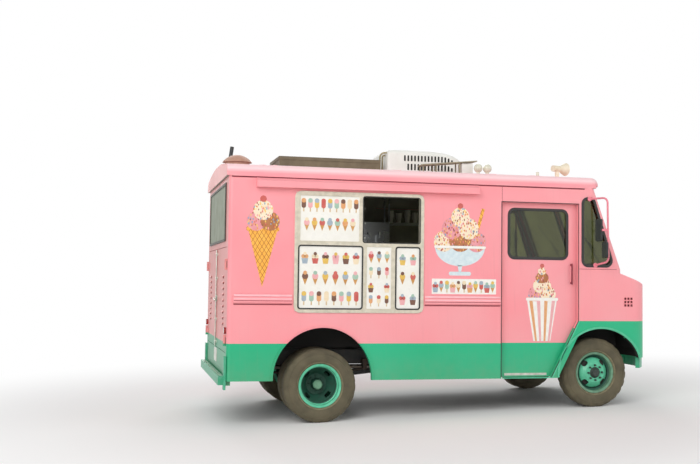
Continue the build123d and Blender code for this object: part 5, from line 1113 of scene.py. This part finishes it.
# On the roof: an air conditioner under a cream plastic cover with two rows of slots, a hatch in
# weathered grey paint, a tan dome, a tray of angle iron and the horn speaker.
ROOF_CROWN = 2760.0
AC_HALF = 350.0
AC_TOP = 3015.0
AC_STATIONS = (
    # station along the truck, height of the cover there, how far its sides stand in
    (905, 2975, 14), (912, 2994, 6), (930, 3008, 0), (1000, 3014, 0), (1200, 3015, 0), (1450, 3013, 0),
    (1560, 3006, 0), (1640, 2992, 0), (1710, 2968, 0), (1770, 2936, 2), (1820, 2896, 6), (1855, 2856, 12),
    (1875, 2812, 22), (1880, 2775, 34),
)
# moulded covers, off-white and softly matt
cream_plastic = mottled("cream_moulded_plastic", "#F0F0EA", "#E6E6DE", 150, 1.5, 0.15, 0.5, {"IOR": 1.49})
# foam sleeve on the coolant pipes, baked brown and dull
lagging = mottled("sun_browned_pipe_lagging", "#A99D7A", "#8F8464", 30, 3, 0.3, 0.6)
# old grey-brown paint, stained where water stands
hatch_grey = mottled("weathered_hatch_paint", "#776B54", "#665B47", 120, 4, 0.2, 0.65)
# paint burnt by the sun to an uneven tan
dome_tan = mottled("sunburnt_tan_paint", "#C49A86", "#B38873", 80, 3, 0.15, 0.55)
# zinc-coated angle iron gone dull and yellowish
tray_zinc = mottled("weathered_zinc_angle", "#A59D83", "#8C846B", 60, 3, 0.2, 0.6)
# plastic yellowed outdoors, with a faint gloss
horn_cream = mottled("yellowed_horn_plastic", "#F3E8D0", "#E6D8BA", 60, 2, 0.15, 0.5, {"IOR": 1.49})
cover = Drawing(lambda y, z, x: on_truck(x, y, z))
rings = []
for x, top, inset in AC_STATIONS:
    half = AC_HALF - inset
    r = min(46, (top - ROOF_CROWN) * 0.6)
    turns = [math.radians(a) for a in range(0, 91, 15)]
    section = [(-half, 2705)] + [(-half + r - r * math.cos(a), top - r + r * math.sin(a)) for a in turns]
    section += [(-half * 0.5, top + 4), (0, top + 6)]
    section += [(-y, z) for y, z in section[-2::-1]]
    rings.append(cover.loop(section, x))
cover.solid(rings)
for x, y, z, r in ((826, -300, 2978, 60), (872, -235, 2955, 30)):
    turns = [math.radians(10 * k) for k in range(10)]
    bend = [on_truck(x + r * (1 - math.cos(a)), y, z - r + r * math.sin(a)) for a in turns]
    cover.tube([on_truck(x, y, 2735)] + bend + [on_truck(914, y, z)], 10, 1)
ac_cover = cover.make("ac_cover", [cream_plastic, lagging], smooth=True)
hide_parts("roof_ac")
for name, sign in SIDES:
    slots = Drawing(flank(sign, AC_HALF))
    for row, first, count, high in ((0, 0, 16, 84), (1, 1, 15, 76)):
        for i in range(count):
            x = 1112 + (first + i) * 41
            top = 2968 - row * 112
            foot = top - high
            # the slots end lower where the cover slopes down to the front
            top = min(top, AC_TOP - 62 - max(0, x - 1560) ** 2 * 0.0023 - row * 92)
            if top - foot > 22:
                outline = panel(x - 11, x + 11, foot, top, 9, 0, 3)
                # a black plate on the cover for each slot's opening: painted shade
                slots.slab(outline, -0.5, 0.5)
                slots.frame(outline, panel(x - 11, x + 11, foot, top, 9, 4, 3), -0.5, 2.5, 1, 0.8)
    slots.make("ac_slots_" + name, [undercoat_and_shade, cream_plastic])


def roof_faces(c, n):
    """Hatch, tan dome, dark pipe or the tray with its cream foot, by place along the roof."""
    x, y, z = on_body(c)
    if x < -600:
        return 2 if y > -120 and z > 2775 else 1
    if x > 1000 and y < -380:
        return 3 if 1690 < x < 1830 and z < 2880 and abs(n.z) < 0.5 and y < -500 else 4
    return 0


coat("roof_vents", [hatch_grey, dome_tan, chassis_black, cream_plastic, tray_zinc], roof_faces)
coat("horn_speaker", [horn_cream])

# Roof seams: lapped joints over the bows, sealed and riveted; the hatch has a lid folded over
# its edge, with three pressed ribs.
CROWN_R = 7853.0
HATCH = (-361, 821, -356, 356)  # its edges along and across the roof
HATCH_HIGH = 120.0


def roof_skin(x, y, out):
    """A point on the roof's crowned skin."""
    return on_truck(x, y, ROOF_CROWN - CROWN_R + math.sqrt(CROWN_R ** 2 - y * y) + out)


laps = Drawing(roof_skin)
for x in (-620, -500, 860, 1960, 2480):
    side = range(-1010, 991, 40)
    laps.band([(x - 19, y) for y in side], [(x + 19, y) for y in side], -0.4, 2.2)
    for y in side[1:-1:2]:
        laps.dome(x, y, RIVET_R, 2, 2)
laps.make("roof_seams", [roof_enamel])
lid = Drawing(lambda x, y, out: on_truck(x, y, ROOF_CROWN + HATCH_HIGH + out))
lid.frame(panel(*HATCH, 14, -5), panel(*HATCH, 14), -34, 0)
lid.cut_plate([panel(*HATCH, 14)], -3, 3, 1.5)
for y in (-200, 0, 200):
    lid.cut_plate([panel(-280, 740, y - 22, y + 22, 21)], 2, 9, 3)
lid.make("hatch_lid", [hatch_grey], smooth=True)

# Lamps: moulded lenses in bright pressed bezels screwed to the body, red at the rear, amber
# beside the headlamps, pearly ones on the roof.
FLUTE_PITCH = 28.0
lens = {}
for name, light, dark in (
    ("clear", "#E9ECEA", "#D9DEDC"), ("amber", "#E58A1E", "#D97C12"), ("red", "#B3201C", "#9C1814"),
):
    # a hard glossy lens that lets a little light in
    lens[name], lens_tree, lens_shader, lens_place, _ = mottled_parts(
        name + "_lamp_lens", light, dark, 30, 6, 0.8, 0.12,
        {"IOR": 1.49, "Transmission Weight": 0.35, "Coat Weight": 0.5})
    if name == "clear":
        # upright flutes pressed in the headlamps' glass, wider than real ones so that they show
        flutes = node(lens_tree, "ShaderNodeTexWave", {
            "Vector": lens_place, "Scale": 1000 / FLUTE_PITCH / 10 * math.pi}, bands_direction="Y")
        fluted = node(lens_tree, "ShaderNodeBump", {"Height": flutes.outputs["Fac"], "Distance": 0.003})
        lens_tree.links.new(fluted.outputs[0], lens_shader.inputs["Normal"])
# milky glass, pale yellow and wavy
lens["pearl"] = mottled("pearl_lamp_glass", "#E4E2CE", "#CFCDB6", 40, 6, 0.4, 0.15,
                        {"IOR": 1.5, "Coat Weight": 0.5})
# plated steel, bright and mirror-like
bezel_chrome = mottled("chromed_bezel", "#DADDDD", "#C4C8C8", 60, 3, 0.04, 0.12, {"Metallic": 1.0})


def lamp_faces(c, n):
    """Which lens or bezel a face of the lamps is, by where it sits."""
    x, y, z = on_body(c)
    if x < -900:
        return 1
    if z > 2300:
        return 3
    if z > 1030:
        return 0 if math.hypot(abs(y) - 720, z - 1150) < 90 else 4
    return 2


coat("lamps", [lens["clear"], lens["red"], lens["amber"], lens["pearl"], bezel_chrome], lamp_faces)

# Bumpers: flat steel bars on brackets, sprayed in the green of the skirt and scuffed along
# their edges by use.

# sprayed enamel, worn paler in patches
bumper_green = mottled("scuffed_green_enamel", "#35A277", "#5AA98A", 90, 3, 0.2, 0.4)
coat("bumpers", [bumper_green])

# Wheels: pressed steel discs in light green enamel with a dark hub and a cast brake drum; the
# tyres are moulded rubber with four zigzag grooves and blocks on their shoulders.
WHEEL_R = 385.0
FRONT_X = (3175 - AXLE_X) * MM
REAR_X = -AXLE_X * MM
DRUM_SECTION = (
    # radius, distance from the wheel's middle
    (60, 40), (150, 40), (166, 34), (172, 20), (172, 10), (166, 8), (166, -4), (172, -6), (172, -24),
    (160, -26), (160, 24), (60, 28),
)
# glossy light green on the discs
wheel_green = mottled("light_green_wheel_enamel", "#62C9A1", "#4FB48D", 60, 3, 0.2, 0.35,
                      {"Coat Weight": 0.2})
# bare steel under grease and dirt, dark with a faint sheen
hub_dark = mottled("greasy_dark_hub_steel", "#2F3A36", "#454B45", 25, 3, 0.3, 0.5, {"Metallic": 0.5})
# the wheels' enamel painted nearly black green: painted shade in the rear dishes and the front
# barrels
painted_shade_green = mottled("green_wheel_enamel_painted_shade", "#1E5543", "#274A3C", 45, 4, 0.3, 0.6)
# the same enamel dulled to olive by dust on the flanges
flange_dusty = mottled("dust_dulled_green_enamel", "#6C9A7C", "#5C8068", 50, 4, 0.3, 0.6)
# cast iron under soot, black and rough
drum_iron = mottled("brake_sooted_cast_iron", "#1B1A19", "#2A2622", 40, 3, 0.3, 0.75, {"Metallic": 0.2})
# moulded rubber, olive brown with dust in its pores
rubber = mottled("dusty_tyre_rubber", "#625A44", "#514B3A", 140, 2.5, 0.25, 0.8, {"IOR": 1.52})
# the same rubber beside the flange, paler where dust cakes
bead_rubber = mottled("dust_paled_bead_rubber", "#8B8164", "#6F6750", 50, 2.5, 0.25, 0.85, {"IOR": 1.52})


def front_wheel_faces(c, n):
    """Hub and nuts are dark steel, the disc is enamelled, the barrel in painted shade and the flange dusty.
    """
    r = math.hypot(c.x - FRONT_X, c.z - AXLE_Z * MM)
    if (r < 0.125 and abs(c.y) > 1.0175) or r < 0.045:
        return 1
    if r > 0.2:
        return 3
    return 2 if r > 0.17 else 0


def rear_wheel_faces(c, n):
    """The dish and hub are painted dark as painted shade, and the hub's cap stays light."""
    r = math.hypot(c.x - REAR_X, c.z - AXLE_Z * MM)
    if r < 0.052:
        return 1
    return 0 if r > 0.19 else 2


coat("rim_front_left rim_front_right", [wheel_green, hub_dark, painted_shade_green, flange_dusty], front_wheel_faces)
coat("rim_rear_left rim_rear_right", [wheel_green, flange_dusty, painted_shade_green], rear_wheel_faces)
for side, sign in SIDES[::-1]:
    # the brake drum behind each front disc, which shows through the hand holes
    drum = Drawing(lambda u, v, out, s=sign: Vector(
        (FRONT_X + u * MM, s * (930 + out) * MM, (AXLE_Z + v) * MM)))
    rings = [drum.loop(disc(0, 0, r, 48), out) for r, out in DRUM_SECTION]
    for a, b in zip(rings, rings[1:] + rings[:1]):
        drum.skin(a, b, 0)
    drum.make("brake_drum_" + side, [drum_iron], "wheel_front_" + side, True)
SECTION = (
    # distance from the tyre's middle, radius: from the bead over the sidewall to the shoulder
    (70, 213), (73, 218), (73, 231), (80, 234), (91, 240), (97, 246), (99, 249), (96, 251), (101, 262),
    (106, 280), (108, 300), (107, 318), (104, 333), (106, 335), (106, 340), (102, 342), (98, 355),
    (93, 366), (87, 375), (82, 381),
)
BEAD_R = 250
BLOCK_R = 360
BLOCK_DEPTH = 7
GROOVES = (-58.0, -20.0, 20.0, 58.0)
GROOVE_DEPTH = 9
TYRE_TURNS = 144


def tyre_section(step):
    """Radial section of the tyre at one step round it, grooves and shoulder blocks included."""
    swing = 4.0 if step % 4 in (0, 1) else -4.0
    cut = BLOCK_DEPTH if step % 6 in (0, 1) else 0
    half = [(s, r - cut if r > BLOCK_R else r) for s, r in SECTION]
    tread_line = [(-74.0, WHEEL_R - cut)]
    for g in GROOVES:
        middle = g + (swing if abs(g) < 40 else 0.5 * swing)
        tread_line += [(middle - 5, WHEEL_R), (middle - 3, WHEEL_R - GROOVE_DEPTH),
                       (middle + 3, WHEEL_R - GROOVE_DEPTH), (middle + 5, WHEEL_R)]
    tread_line.append((74.0, WHEEL_R - cut))
    return [(-s, r) for s, r in half] + tread_line + half[::-1]


def tyre(name, x, middles, body):
    """One tyre, or the two tyres of a twin wheel, turned round the axle."""
    drawn = Drawing(None)
    for y in middles:
        drawn.place = lambda s, r, a, y=y: Vector(
            (x + r * MM * math.cos(a), y + s * MM, AXLE_Z * MM + r * MM * math.sin(a)))
        rings = [drawn.loop(tyre_section(step), math.tau * step / TYRE_TURNS) for step in range(TYRE_TURNS)]
        for a, b in zip(rings, rings[1:] + rings[:1]):
            drawn.skin(a, b, 0)
    section = tyre_section(0)
    pairs = zip(section, section[1:] + section[:1])
    beads = [1 if max(p[1], q[1]) < BEAD_R else 0 for p, q in pairs]
    drawn.coats = beads * (TYRE_TURNS * len(middles))
    return drawn.make(name, [rubber, bead_rubber], body, True)


for side, sign in SIDES[::-1]:
    front = tyre("tread_front_" + side, FRONT_X, (sign * 0.930,), "wheel_front_" + side)
    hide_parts("tyre_front_" + side)
    rear = tyre("tread_rear_" + side, REAR_X, (sign * 0.977, sign * 0.707), "wheel_rear_" + side)
    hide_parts("tyre_rear_" + side)
